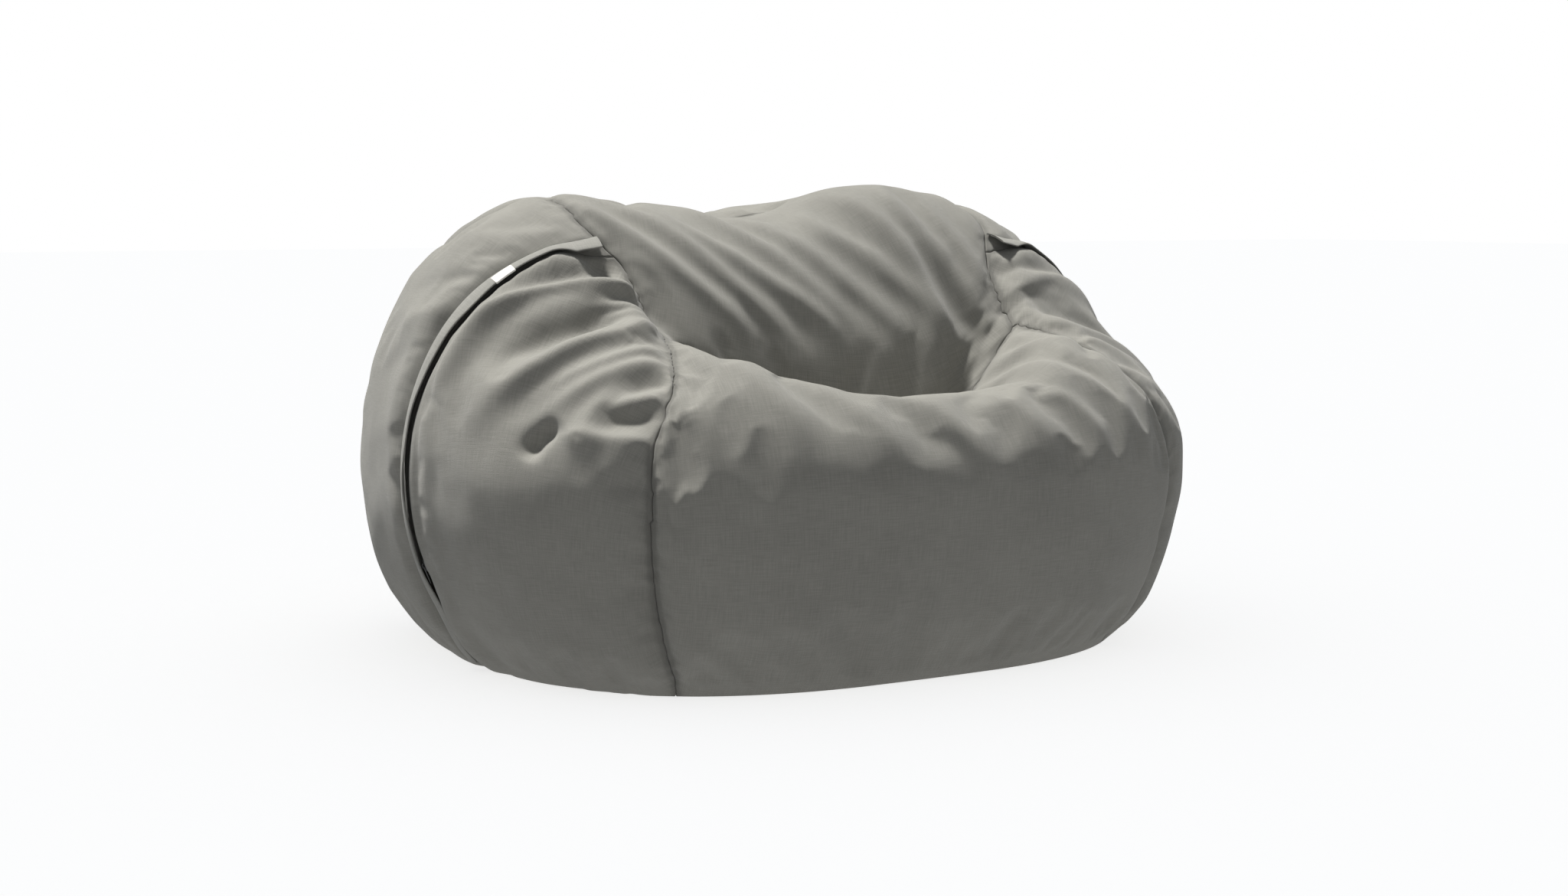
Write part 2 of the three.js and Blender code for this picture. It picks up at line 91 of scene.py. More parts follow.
ZIP_CENTRE = np.array([-0.2865, -0.1194, 0.276])
ZIP_RADIUS = 0.3336
ZIP_LEAN = math.radians(15.918)
ZIP_OUT = np.array([-math.cos(ZIP_LEAN), math.sin(ZIP_LEAN), 0.0])
ZIP_BACK = np.array([math.sin(ZIP_LEAN), math.cos(ZIP_LEAN), 0.0])
ZIP_LOW, ZIP_HIGH = -26.0, 66.0  # degrees above level, seen from the centre
FLAP_START = (-0.323, -0.109)



# ==== form ====


def smooth(t):
    t = np.clip(t, 0.0, 1.0)
    return t * t * (3.0 - 2.0 * t)


def soft_max(a, b, blend):
    h = np.clip(0.5 + 0.5 * (a - b) / blend, 0.0, 1.0)
    return b * (1.0 - h) + a * h + blend * h * (1.0 - h)


def top_height(x, y):
    """Height of the top surface, as if the side wall weren't there."""
    side = np.abs(x)
    rim = RIM_FRONT + (RIM_CORNER - RIM_FRONT) * smooth((side - CORNER_FROM) / CORNER_RUN)
    rim = rim + (RIM_ARM - RIM_CORNER) * smooth((y - ARM_FROM) / ARM_RUN)
    oval = (side / SEAT_HALF_WIDTH) ** SEAT_POWER + (np.abs(y - SEAT_Y) / SEAT_HALF_DEPTH) ** SEAT_POWER
    oval = oval ** (1.0 / SEAT_POWER)
    ring = SEAT_HEIGHT + (rim - SEAT_HEIGHT) * smooth((oval - SEAT_ROLL_IN) / (1.0 - SEAT_ROLL_IN))
    climb = np.clip((BACK_CREST_Y - y) / (BACK_CREST_Y - BACK_FOOT_Y), 0.0, 1.0)
    crest = BACK_HEIGHT - MIDDLE_DIP * np.exp(-((x / DIP_WIDTH) ** 2))
    crest = crest - SHOULDER_DROP * smooth((side - SHOULDER_FROM) / SHOULDER_RUN)
    foot = SEAT_HEIGHT - BACK_FOOT_DROP
    roll = foot + (crest - foot) * np.sqrt(np.clip(1.0 - climb**BACK_POWER, 0.0, 1.0))
    return soft_max(ring, roll, CREASE_BLEND)


def plan_reach(x, y):
    """1 on the bag's plan outline, less inside."""
    return (np.abs(x / HALF_WIDTH) ** PLAN_POWER + np.abs(y / HALF_DEPTH) ** PLAN_POWER) ** (1.0 / PLAN_POWER)


def outside(points):
    """Above 0 outside the bag or under the floor."""
    x, y, z = points[:, 0], points[:, 1], points[:, 2]
    from_wall = (plan_reach(x, y) - 1.0) * (HALF_WIDTH + HALF_DEPTH) / 2.0
    above = z > GIRTH_HEIGHT
    turn = np.where(above, TOP_TURN, BOTTOM_TURN)
    top = np.maximum(top_height(x, y), GIRTH_HEIGHT + 0.02)
    drop = (GIRTH_HEIGHT - z) / (GIRTH_HEIGHT + FLOOR_SINK)
    rise = np.where(above, (z - GIRTH_HEIGHT) / (top - GIRTH_HEIGHT), drop)
    across = np.clip((from_wall + turn) / turn, 0.0, None)
    return np.maximum(across**EDGE_POWER + np.clip(rise, 0.0, None) ** EDGE_POWER - 1.0, -5.0 * z)


def reach_along(start, directions):
    """How far along each direction the surface lies."""
    step = 0.008
    count = len(directions)
    start = np.broadcast_to(start, (count, 3))
    far = np.full(count, np.nan)
    for distance in np.arange(0.02, 1.1, step):
        out = outside(start + directions * distance) > 0.0
        far = np.where(np.isnan(far) & out, distance, far)
        if not np.isnan(far).any():
            break
    near = far - step
    for _ in range(16):
        middle = (near + far) / 2.0
        out = outside(start + directions * middle[:, None]) > 0.0
        far = np.where(out, middle, far)
        near = np.where(out, near, middle)
    return near


def on_bag(points):
    """The surface point that CORE sees in each point's direction."""
    directions = np.asarray(points, float) - CORE
    directions = directions / np.linalg.norm(directions, axis=1)[:, None]
    return CORE + directions * reach_along(CORE, directions)[:, None]


def zip_frame(points):
    """Each point's angle (degrees), radius and place across the zip of its own side."""
    offset = np.array(points, float)
    offset[:, 0] = -np.abs(offset[:, 0])
    offset = offset - ZIP_CENTRE
    out, up = offset @ ZIP_OUT, offset[:, 2]
    return np.degrees(np.arctan2(up, out)), np.hypot(out, up), offset @ ZIP_BACK


def track_hold(angle):
    """1 where the cover lies on the zip's circle, falling to 0 past each end."""
    return smooth((angle + 44.0) / 14.0) * smooth((80.0 - angle) / 13.0)


def beside_track(across):
    """1 over the zip's tapes, falling to 0 beside them, sooner on the shoulder's side."""
    return smooth((across + 0.034) / 0.018) * smooth((0.027 - across) / 0.013)


def hold_to_track(points):
    """Draws the surface near each side zip onto its circle."""
    angle, radius, across = zip_frame(points)
    change = (ZIP_RADIUS - radius) * track_hold(angle) * beside_track(across)
    side = np.sign(points[:, 0])
    turn = np.radians(angle)
    out = ZIP_OUT[None, :] * [1.0, 1.0, 0.0] * np.cos(turn)[:, None]
    out[:, 2] = np.sin(turn)
    out[:, 0] *= -side
    return points + out * change[:, None]


# ==== curves and regions ====


def through(points, count):
    """A smooth run of count points through a few, by Catmull-Rom."""
    points = np.asarray(points, float)
    ends = np.vstack([2 * points[0] - points[1], points, 2 * points[-1] - points[-2]])
    place = np.linspace(0.0, len(points) - 1.0, count)
    part = np.minimum(place.astype(int), len(points) - 2)
    t = (place - part)[:, None]
    a, b, c, d = (ends[part + k] for k in range(4))
    return 0.5 * (2 * b + (c - a) * t + (2 * a - 5 * b + 4 * c - d) * t**2 + (3 * b - a - 3 * c + d) * t**3)


def flipped(points):
    return np.asarray(points) * [-1.0, 1.0]


def seam_lines():
    """Every seam in plan as a smooth run, by name, right side first."""
    lines = {name: through(points, 60) for name, points in
             (("front", FRONT_SEAM), ("back", BACK_SEAM), ("rear", REAR_SEAM))}
    lines["crease"] = through([FRONT_SEAM[-1], CREASE_MIDDLE, (-FRONT_SEAM[-1][0], FRONT_SEAM[-1][1])], 60)
    lines["top"] = through([REAR_SEAM[0], TOP_SEAM_MIDDLE, (-REAR_SEAM[0][0], REAR_SEAM[0][1])], 60)
    far = np.array(FLAP_START) + ZIP_OUT[:2] * 0.42
    lines["flap"] = np.array([FLAP_START, far])
    return lines


def outlines(lines):
    """Each cover panel's outline in plan."""
    front, back, rear = lines["front"], lines["back"], lines["rear"]
    joint = int(np.argmin(np.linalg.norm(back - FLAP_START, axis=1)))
    far = lines["flap"][1]
    ahead = [(0.6, -0.9), (-0.6, -0.9)]
    behind = [(-0.6, 0.9), (0.6, 0.9)]
    front_seat = np.vstack([front, lines["crease"], flipped(front)[::-1], ahead])
    backrest = np.vstack([back[::-1], lines["crease"], flipped(back), lines["top"][::-1]])
    rear_panel = np.vstack([rear, behind, flipped(rear)[::-1], lines["top"][::-1]])
    arm = np.vstack([front, back[:joint], [FLAP_START, far, (-0.9, far[1]), (-0.9, -0.9), (-0.6, -0.9)]])
    shoulder = np.vstack([[FLAP_START], back[joint + 1:], rear, [(-0.9, 0.9), (-0.9, far[1]), far]])
    return [("front_seat_panel", front_seat), ("backrest_panel", backrest), ("rear_panel", rear_panel),
            ("right_arm_panel", arm), ("left_arm_panel", flipped(arm)),
            ("right_shoulder_panel", shoulder), ("left_shoulder_panel", flipped(shoulder))]


def within(outline, x, y):
    """Which points lie inside a closed outline."""
    inside = np.zeros(len(x), bool)
    following = np.roll(outline, -1, axis=0)
    for (x0, y0), (x1, y1) in zip(outline, following):
        if y0 != y1:
            inside ^= ((y0 > y) != (y1 > y)) & (x < (x1 - x0) * (y - y0) / (y1 - y0) + x0)
    return inside


BASE_LABEL, SLOT_LABEL = 7, 8
SLOT_FRONT, SLOT_BACK = -8.5 * MM, 12.5 * MM


def labels_at(points, shapes):
    """The number of the cover panel that each point belongs to."""
    x, y, z = points[:, 0], points[:, 1], points[:, 2]
    found = np.full(len(points), 2)
    for number, (_, outline) in enumerate(shapes):
        found[within(outline, x, y)] = number
    found[(z < 0.012) & (plan_reach(x, y) < BASE_SEAM_SCALE)] = BASE_LABEL
    angle, radius, across = zip_frame(points)
    slot = (angle > ZIP_LOW) & (angle < ZIP_HIGH) & (radius > 0.25)
    slot &= (across > SLOT_FRONT) & (across < SLOT_BACK)
    found[slot] = SLOT_LABEL
    return found


# ==== folds ====


class Fold:
    """A ridge (height above 0) or valley (below 0) along a run of points on the bag."""

    def __init__(self, path, height, width, lean=0.0, start=0.2, end=0.4, widen=1.3, sharp=1.7):
        self.path, self.height, self.width, self.lean = path, height, width, lean
        self.start, self.end, self.widen, self.sharp = start, end, widen, sharp

    def lift(self, points, normals):
        """How far the fold moves each point out."""
        run = on_bag(through(self.path, 30))
        lifted = np.zeros(len(points))
        reach = 3.2 * self.width * max(1.0, self.widen)
        inside = (points > run.min(axis=0) - reach) & (points < run.max(axis=0) + reach)
        near = np.flatnonzero(inside.all(axis=1))
        if not len(near):
            return lifted
        gaps = points[near][:, None, :] - run[None, :, :]
        nearest = np.argmin((gaps**2).sum(axis=2), axis=1)
        tangent = np.gradient(run, axis=0)
        tangent /= np.linalg.norm(tangent, axis=1)[:, None]
        tangent = tangent[nearest]
        gap = points[near] - run[nearest]
        along = (gap * tangent).sum(axis=1)
        spacing = np.linalg.norm(np.diff(run, axis=0), axis=1).mean()
        t = (nearest + along / spacing) / (len(run) - 1)
        across = ((np.cross(normals[near], tangent)) * gap).sum(axis=1)
        width = self.width * (1.0 + (self.widen - 1.0) * np.clip(t, 0.0, 1.0))
        width = width * np.where(across > 0.0, 1.0 + self.lean, 1.0 - self.lean)
        fade = smooth(t / max(self.start, 1e-3)) * smooth((1.0 - t) / max(self.end, 1e-3))
        lifted[near] = self.height * fade * np.exp(-np.abs(across / width) ** self.sharp)
        return lifted


def right_arm_folds():
    """Folds over the arm and down its side, and those that the front seam pinches."""
    return [
        Fold([(-0.29, -0.16, 0.51), (-0.35, -0.15, 0.53), (-0.40, -0.13, 0.54), (-0.46, -0.11, 0.53),
              (-0.51, -0.10, 0.49), (-0.56, -0.10, 0.44), (-0.59, -0.08, 0.38)], 0.021, 0.019, lean=-0.3,
              start=0.12),
        Fold([(-0.31, -0.125, 0.56), (-0.36, -0.12, 0.56), (-0.41, -0.11, 0.55), (-0.47, -0.095, 0.53),
              (-0.52, -0.085, 0.49)], -0.034, 0.024, start=0.2, end=0.5),
        Fold([(-0.32, -0.112, 0.575), (-0.37, -0.108, 0.57), (-0.42, -0.10, 0.56)], 0.004, 0.006, widen=1.0),
        Fold([(-0.34, -0.21, 0.49), (-0.40, -0.195, 0.49), (-0.45, -0.18, 0.48), (-0.50, -0.17, 0.46),
              (-0.54, -0.155, 0.42)], -0.034, 0.026, start=0.3, end=0.45),
        Fold([(-0.31, -0.22, 0.48), (-0.37, -0.245, 0.47), (-0.44, -0.23, 0.46), (-0.49, -0.22, 0.43),
              (-0.54, -0.20, 0.39), (-0.58, -0.19, 0.33)], 0.020, 0.023, lean=-0.25, start=0.15),
        Fold([(-0.30, -0.185, 0.49), (-0.35, -0.18, 0.505), (-0.40, -0.165, 0.515)], 0.006, 0.007, widen=1.4),
        Fold([(-0.305, -0.20, 0.485), (-0.35, -0.195, 0.495), (-0.39, -0.185, 0.50)], 0.005, 0.006,
             widen=1.3),
        Fold([(-0.35, -0.31, 0.47), (-0.41, -0.29, 0.46), (-0.47, -0.265, 0.43), (-0.52, -0.24, 0.38)],
             0.009, 0.013, lean=-0.3),
        Fold([(-0.36, -0.335, 0.45), (-0.42, -0.31, 0.44), (-0.47, -0.29, 0.405), (-0.51, -0.27, 0.36)],
             0.010, 0.015, lean=-0.3),
        Fold([(-0.37, -0.36, 0.43), (-0.40, -0.345, 0.425), (-0.44, -0.33, 0.41)], -0.016, 0.017, start=0.2),
        Fold([(-0.385, -0.38, 0.405), (-0.42, -0.36, 0.405), (-0.455, -0.335, 0.39)], 0.008, 0.011,
             start=0.2),
        Fold([(-0.395, -0.39, 0.385), (-0.44, -0.365, 0.38), (-0.48, -0.33, 0.375)], -0.019, 0.022,
             start=0.2),
        Fold([(-0.41, -0.405, 0.35), (-0.45, -0.37, 0.35), (-0.49, -0.33, 0.355), (-0.51, -0.31, 0.355)],
             0.012, 0.014, lean=0.3, start=0.2),
        Fold([(-0.505, -0.305, 0.38), (-0.53, -0.29, 0.355), (-0.545, -0.28, 0.32)], -0.026, 0.014,
             start=0.35,
             end=0.35, widen=1.0, sharp=2.0),
        Fold([(-0.42, -0.42, 0.29), (-0.45, -0.39, 0.29), (-0.48, -0.36, 0.285)], -0.006, 0.014, start=0.2),
    ]


def left_arm_folds():
    """The left arm's own folds, like the right's but fewer, and a fan where the rim turns into the arm."""
    return [
        Fold([(0.29, -0.17, 0.51), (0.36, -0.16, 0.53), (0.43, -0.13, 0.54), (0.50, -0.12, 0.50),
              (0.56, -0.11, 0.43)],
             0.0104, 0.021, lean=0.3, start=0.15),
        Fold([(0.31, -0.14, 0.55), (0.38, -0.125, 0.56), (0.45, -0.105, 0.54)], -0.0080, 0.018),
        Fold([(0.33, -0.22, 0.49), (0.40, -0.21, 0.49), (0.47, -0.19, 0.47), (0.53, -0.17, 0.42)], -0.0112,
             0.023),
        Fold([(0.31, -0.24, 0.48), (0.38, -0.26, 0.47), (0.45, -0.25, 0.45), (0.52, -0.23, 0.39),
              (0.57, -0.21, 0.32)],
             0.0088, 0.024, lean=0.25, start=0.15),
        Fold([(0.34, -0.31, 0.47), (0.41, -0.31, 0.45), (0.47, -0.29, 0.41), (0.52, -0.26, 0.35)], 0.0056,
             0.016),
        Fold([(0.37, -0.36, 0.43), (0.41, -0.345, 0.42), (0.45, -0.33, 0.40)], -0.0072, 0.016, start=0.2),
        Fold([(0.40, -0.39, 0.38), (0.45, -0.36, 0.37), (0.49, -0.33, 0.36)], -0.0064, 0.018, start=0.2),
        Fold([(0.24, -0.24, 0.42), (0.27, -0.31, 0.455), (0.33, -0.35, 0.445), (0.37, -0.39, 0.41)], 0.0064,
             0.016,
             start=0.15),
        Fold([(0.23, -0.26, 0.41), (0.24, -0.35, 0.44), (0.29, -0.41, 0.42), (0.34, -0.44, 0.37)], -0.0064,
             0.017,
             start=0.15),
        Fold([(0.22, -0.26, 0.41), (0.22, -0.39, 0.43), (0.28, -0.435, 0.40), (0.33, -0.45, 0.35)], 0.0056,
             0.015),
        Fold([(0.19, -0.27, 0.40), (0.18, -0.41, 0.415), (0.24, -0.46, 0.38), (0.29, -0.47, 0.33)], -0.0056,
             0.018),
    ]


def front_folds():
    """Folds that fall from the low front rim, down and towards the sitter's left, and fade by mid-height."""
    return [
        Fold([(-0.29, -0.36, 0.45), (-0.27, -0.42, 0.42), (-0.24, -0.46, 0.37),
              (-0.21, -0.485, 0.32)], 0.0056, 0.022, lean=0.2, start=0.1, end=0.5),
        Fold([(-0.24, -0.39, 0.435), (-0.21, -0.44, 0.40), (-0.17, -0.48, 0.35)],
             -0.0050, 0.024),
        Fold([(-0.19, -0.39, 0.425), (-0.15, -0.445, 0.39), (-0.11, -0.48, 0.34),
              (-0.08, -0.50, 0.29)], 0.0050, 0.020, lean=0.2),
        Fold([(-0.10, -0.43, 0.395), (-0.06, -0.475, 0.36), (-0.02, -0.505, 0.30)],
             -0.0056, 0.027),
        Fold([(-0.05, -0.43, 0.395), (-0.01, -0.475, 0.36), (0.03, -0.505, 0.30),
              (0.05, -0.51, 0.26)], 0.0062, 0.023, lean=0.2, end=0.5),
        Fold([(0.01, -0.43, 0.395), (0.06, -0.48, 0.355), (0.10, -0.505, 0.30)],
             -0.0050, 0.026),
        Fold([(0.07, -0.425, 0.40), (0.12, -0.475, 0.36), (0.16, -0.50, 0.30)],
             0.0056, 0.022, lean=0.2, end=0.5),
        Fold([(0.13, -0.43, 0.40), (0.18, -0.475, 0.355), (0.22, -0.495, 0.30)],
             -0.0050, 0.024),
        Fold([(0.18, -0.43, 0.405), (0.23, -0.47, 0.36), (0.27, -0.485, 0.30)],
             0.0050, 0.020, lean=0.2),
        Fold([(-0.35, -0.43, 0.37), (-0.31, -0.46, 0.345), (-0.26, -0.485, 0.325)], -0.0050, 0.041,
             start=0.4, end=0.5),
        Fold([(0.30, -0.44, 0.38), (0.33, -0.45, 0.33), (0.35, -0.455, 0.27)], 0.0037, 0.024),
    ]


def backrest_folds():
    """Long folds that sweep from the crest down and towards the sitter's left."""
    sweeps = [(-0.37, -0.17, 0.010, 0.020), (-0.31, -0.10, 0.008, 0.018), (-0.25, -0.03, 0.011, 0.024),
              (-0.17, 0.03, 0.007, 0.021), (-0.09, 0.09, 0.011, 0.028), (0.01, 0.155, 0.008, 0.022),
              (0.09, 0.20, 0.010, 0.025), (0.17, 0.25, 0.007, 0.021), (0.24, 0.285, 0.005, 0.019)]
    folds = []
    for number, (top, foot, height, width) in enumerate(sweeps):
        sweep = foot - top
        sway = 0.012 * math.sin(number * 2.3)
        path = [(top, 0.03, 0.66), (top + 0.30 * sweep + sway, -0.06, 0.62),
                (top + 0.62 * sweep, -0.12, 0.56),
                (foot - sway, -0.165, 0.49), (foot + 0.12 * sweep, -0.19, 0.44)]
        folds.append(Fold(path, height, width, lean=0.40, start=0.15 + 0.05 * (number % 3), end=0.30,
                          widen=1.25,
                          sharp=1.7))
        valley = [(x + 0.036 + 0.004 * (number % 2), y, z) for x, y, z in path]
        folds.append(Fold(valley, -0.8 * height, width, start=0.25, end=0.3))
    return folds


def shoulder_folds(side):
    """Soft folds across a shoulder, square to its hem."""
    runs = [
        ([(0.42, -0.05, 0.57), (0.44, 0.05, 0.57), (0.45, 0.15, 0.55)], 0.006, 0.020),
        ([(0.48, -0.05, 0.53), (0.50, 0.05, 0.52), (0.51, 0.15, 0.50)], -0.005, 0.020),
        ([(0.52, -0.05, 0.50), (0.54, 0.04, 0.48), (0.55, 0.14, 0.45)], 0.006, 0.018),
        ([(0.55, -0.045, 0.46), (0.57, 0.06, 0.43), (0.57, 0.18, 0.39)], -0.004, 0.022),
        ([(0.38, -0.06, 0.59), (0.38, 0.06, 0.61), (0.39, 0.16, 0.60)], -0.004, 0.018),
        ([(0.58, -0.03, 0.36), (0.585, 0.08, 0.33), (0.58, 0.2, 0.30)], 0.004, 0.030),
    ]
    return [Fold([(x * side, y, z) for x, y, z in path], height, width, start=0.3, end=0.5)
            for path, height, width in runs]


def rear_folds():
    """Soft upright folds down the back, and a few that the floor presses in."""
    folds = []
    for number, x in enumerate((-0.38, -0.27, -0.15, -0.04, 0.07, 0.18, 0.29, 0.40)):
        lean = 0.03 * math.sin(number * 2.1)
        height = 0.008 if number % 2 == 0 else -0.007
        folds.append(Fold([(x * 0.8, 0.22, 0.62), (x * 0.9 + lean, 0.36, 0.52), (x + lean, 0.46, 0.40),
                           (x + 2 * lean, 0.50, 0.28)], height, 0.024, start=0.25, end=0.6))
    for number, x in enumerate((-0.42, -0.2, 0.03, 0.24, 0.44)):
        folds.append(Fold([(x, 0.42, 0.06), (x * 0.95, 0.48, 0.14), (x * 0.9, 0.50, 0.22)],
                          0.006 * (1 if number % 2 else -1), 0.024, start=0.2, end=0.6))
    return folds


def crease_folds():
    """Short folds that the seat crease gathers, in the seat hollow."""
    folds = []
    for number in range(11):
        x = -0.25 + 0.05 * number
        sway = 0.012 * math.sin(number * 1.7)
        folds.append(Fold([(x, -0.245, 0.36), (x + sway, -0.29, 0.34), (x + 2 * sway, -0.34, 0.37)],
                          0.005 if number % 2 else -0.005, 0.014, start=0.1, end=0.6))
    return folds


def all_folds():
    return (right_arm_folds() + left_arm_folds() + front_folds() + backrest_folds() + shoulder_folds(-1)
            + shoulder_folds(1) + rear_folds() + crease_folds())


def waves(points, count, longest, shortest, seed):
    """Gentle random undulation between -1 and 1, with wavelengths in metres."""
    chance = np.random.default_rng(seed)
    total = np.zeros(len(points))
    for _ in range(count):
        direction = chance.normal(size=3)
        direction /= np.linalg.norm(direction)
        length = chance.uniform(shortest, longest)
        total += np.sin(points @ direction * 2.0 * math.pi / length + chance.uniform(0.0, 2.0 * math.pi))
    return total / math.sqrt(count * 2.0)


# ==== meshes ====


def places(bm):
    return np.array([vertex.co for vertex in bm.verts], float).reshape(-1, 3)


def move_to(bm, points):
    for vertex, point in zip(bm.verts, points):
        vertex.co = point


def normals_of(bm):
    bm.normal_update()
    return np.array([vertex.normal for vertex in bm.verts], float).reshape(-1, 3)


def round_grid(cells):
    """A closed ball of quads on the bag's surface."""
    bm = bmesh.new()
    bmesh.ops.create_cube(bm, size=2.0)
    bmesh.ops.subdivide_edges(bm, edges=bm.edges[:], cuts=cells - 1, use_grid_fill=True)
    directions = places(bm) * [1.2, 1.0, 0.75] + [0.0, 0.0, 0.6]
    directions /= np.linalg.norm(directions, axis=1)[:, None]
    points = CORE + directions * reach_along(CORE, directions)[:, None]
    move_to(bm, hold_to_track(points))
    bmesh.ops.recalc_face_normals(bm, faces=bm.faces)
    return bm


def snap_to_seams(bm, shapes):
    """Moves vertices onto the seams and cuts quads, so that each face lies in one panel."""
    bm.verts.ensure_lookup_table()
    bm.verts.index_update()
    points = places(bm)
    on_seam = np.zeros(len(points), bool)
    pairs = np.array([(edge.verts[0].index, edge.verts[1].index) for edge in bm.edges])
    labels = labels_at(points, shapes)
    for _ in range(3):
        a, b = pairs[:, 0], pairs[:, 1]
        crossing = (labels[a] != labels[b]) & ~on_seam[a] & ~on_seam[b]
        if not crossing.any():
            break
        a, b = a[crossing], b[crossing]
        near, far = np.zeros(len(a)), np.ones(len(a))
        for _ in range(12):
            middle = (near + far) / 2.0
            same = labels_at(points[a] + (points[b] - points[a]) * middle[:, None], shapes) == labels[a]
            near = np.where(same, middle, near)
            far = np.where(same, far, middle)
        target = points[a] + (points[b] - points[a]) * far[:, None]
        mover = np.where(far < 0.5, a, b)
        for k in np.argsort(np.minimum(far, 1.0 - far)):
            if not on_seam[a[k]] and not on_seam[b[k]]:
                points[mover[k]] = target[k]
                on_seam[mover[k]] = True
    move_to(bm, points)
    cuts = []
    for face in bm.faces:
        ends = [v for v in face.verts if on_seam[v.index]]
        free = {labels[v.index] for v in face.verts if not on_seam[v.index]}
        if len(ends) == 2 and len(free) > 1:
            cuts.append(ends)
    for ends in cuts:
        bmesh.ops.connect_verts(bm, verts=ends)
    bm.faces.ensure_lookup_table()
    centres = np.array([face.calc_center_median() for face in bm.faces], float)
    panel = bm.faces.layers.int.new("panel")
    for face, label in zip(bm.faces, labels_at(centres, shapes)):
        face[panel] = int(label)
    for _ in range(4):
        for face in bm.faces:
            around = [other[panel] for edge in face.edges for other in edge.link_faces if other is not face]
            most = max(sorted(set(around)), key=around.count)
            if most != face[panel] and around.count(most) > len(around) / 2.0:
                face[panel] = most
    for edge in bm.edges:
        a, b = edge.link_faces
        edge.seam = a[panel] != b[panel]
    even_out_seams(bm)


def even_out_seams(bm):
    """Smooths the seams along themselves, and the cells beside them."""
    bm.verts.index_update()
    along = {}
    for edge in bm.edges:
        if edge.seam:
            for vertex in edge.verts:
                along.setdefault(vertex.index, []).append(edge.other_vert(vertex).index)
    chain = np.array([(index, *ends) for index, ends in along.items() if len(ends) == 2])
    beside = {index for index in along}
    for _ in range(3):
        beside |= {vertex.index for index in beside for edge in bm.verts[index].link_edges
                   for vertex in edge.verts}
    free = [bm.verts[index] for index in beside if index not in along]
    points = places(bm)
    for _ in range(8):
        middle = (points[chain[:, 1]] + points[chain[:, 2]]) / 2.0
        points[chain[:, 0]] = points[chain[:, 0]] * 0.5 + middle * 0.5
    move_to(bm, points)
    for _ in range(6):
        bmesh.ops.smooth_vert(bm, verts=free, factor=0.5, use_axis_x=True, use_axis_y=True, use_axis_z=True)
    changed = np.array(sorted(beside))
    points = places(bm)
    points[changed] = hold_to_track(on_bag(points[changed]))
    move_to(bm, points)


def to_object(bm, name):
    mesh = bpy.data.meshes.new(name)
    for face in bm.faces:
        face.smooth = True
    bm.to_mesh(mesh)
    bm.free()
    piece = bpy.data.objects.new(name, mesh)
    bpy.context.scene.collection.objects.link(piece)
    return piece


def apply_modifiers(piece):
    """Makes what the piece's modifiers show its mesh."""
    bpy.context.view_layer.update()
    graph = bpy.context.evaluated_depsgraph_get()
    shown = piece.evaluated_get(graph)
    mesh = bpy.data.meshes.new_from_object(shown, preserve_all_data_layers=True, depsgraph=graph)
    piece.modifiers.clear()
    old = piece.data
    piece.data = mesh
    mesh.name = piece.name
    bpy.data.meshes.remove(old)


def mesh_points(mesh):
    flat = np.empty(len(mesh.vertices) * 3)
    mesh.vertices.foreach_get("co", flat)
    return flat.reshape(-1, 3)


def set_mesh_points(mesh, points):
    mesh.vertices.foreach_set("co", np.ascontiguousarray(points, float).ravel())
    mesh.update()


def mesh_normals(mesh):
    flat = np.empty(len(mesh.vertices) * 3)
    mesh.vertices.foreach_get("normal", flat)
    return flat.reshape(-1, 3)


def zip_cover_hold(points):
    """1 over each side zip, where the cover stays on the zip's circle, falling to 0 beside it."""
    angle, radius, across = zip_frame(points)
    along = smooth((angle + 40.0) / 12.0) * smooth((78.0 - angle) / 10.0)
    beside = smooth((across + 0.045) / 0.027) * smooth((0.030 - across) / 0.016)
    return along * beside * (radius > 0.25)


def seam_points(bm):
    """The places of the vertices on seams, as a tree."""
    found = [vertex.co for vertex in bm.verts if any(edge.seam for edge in vertex.link_edges)]
    tree = KDTree(len(found))
    for number, place in enumerate(found):
        tree.insert(place, number)
    tree.balance()
    return tree


def swell(points):
    """Where the filling stands fuller than the plain form: crest, right shoulder and foot."""
    x, y, z = points.T
    high = smooth((z - 0.50) / 0.10)
    crest = 0.030 * np.exp(-(((x - 0.155) / 0.125) ** 2) - ((y - 0.03) / 0.13) ** 2) * high
    shoulder = 0.010 * np.exp(-(((x + 0.37) / 0.09) ** 2) - ((y - 0.04) / 0.12) ** 2) * high
    foot = 0.004 * np.exp(-(((z - 0.045) / 0.045) ** 2))
    return crest + shoulder + foot


def cover_lift(points, normals, depth):
    """How far folds and soft lumps move the smooth bag's surface out."""
    lift = np.zeros(len(points))
    for fold in all_folds():
        lift += fold.lift(points, normals)
    lift *= depth
    deepest = 0.030
    lift = np.where(lift < 0.0, deepest * np.tanh(lift / deepest), lift)
    lift += 0.0030 * waves(points, 22, 0.40, 0.16, 5)
    lift += 0.0010 * waves(points, 26, 0.11, 0.05, 9)
    return (lift * (1.0 - zip_cover_hold(points)) * smooth((points[:, 2] + 0.004) / 0.045)) + swell(points)


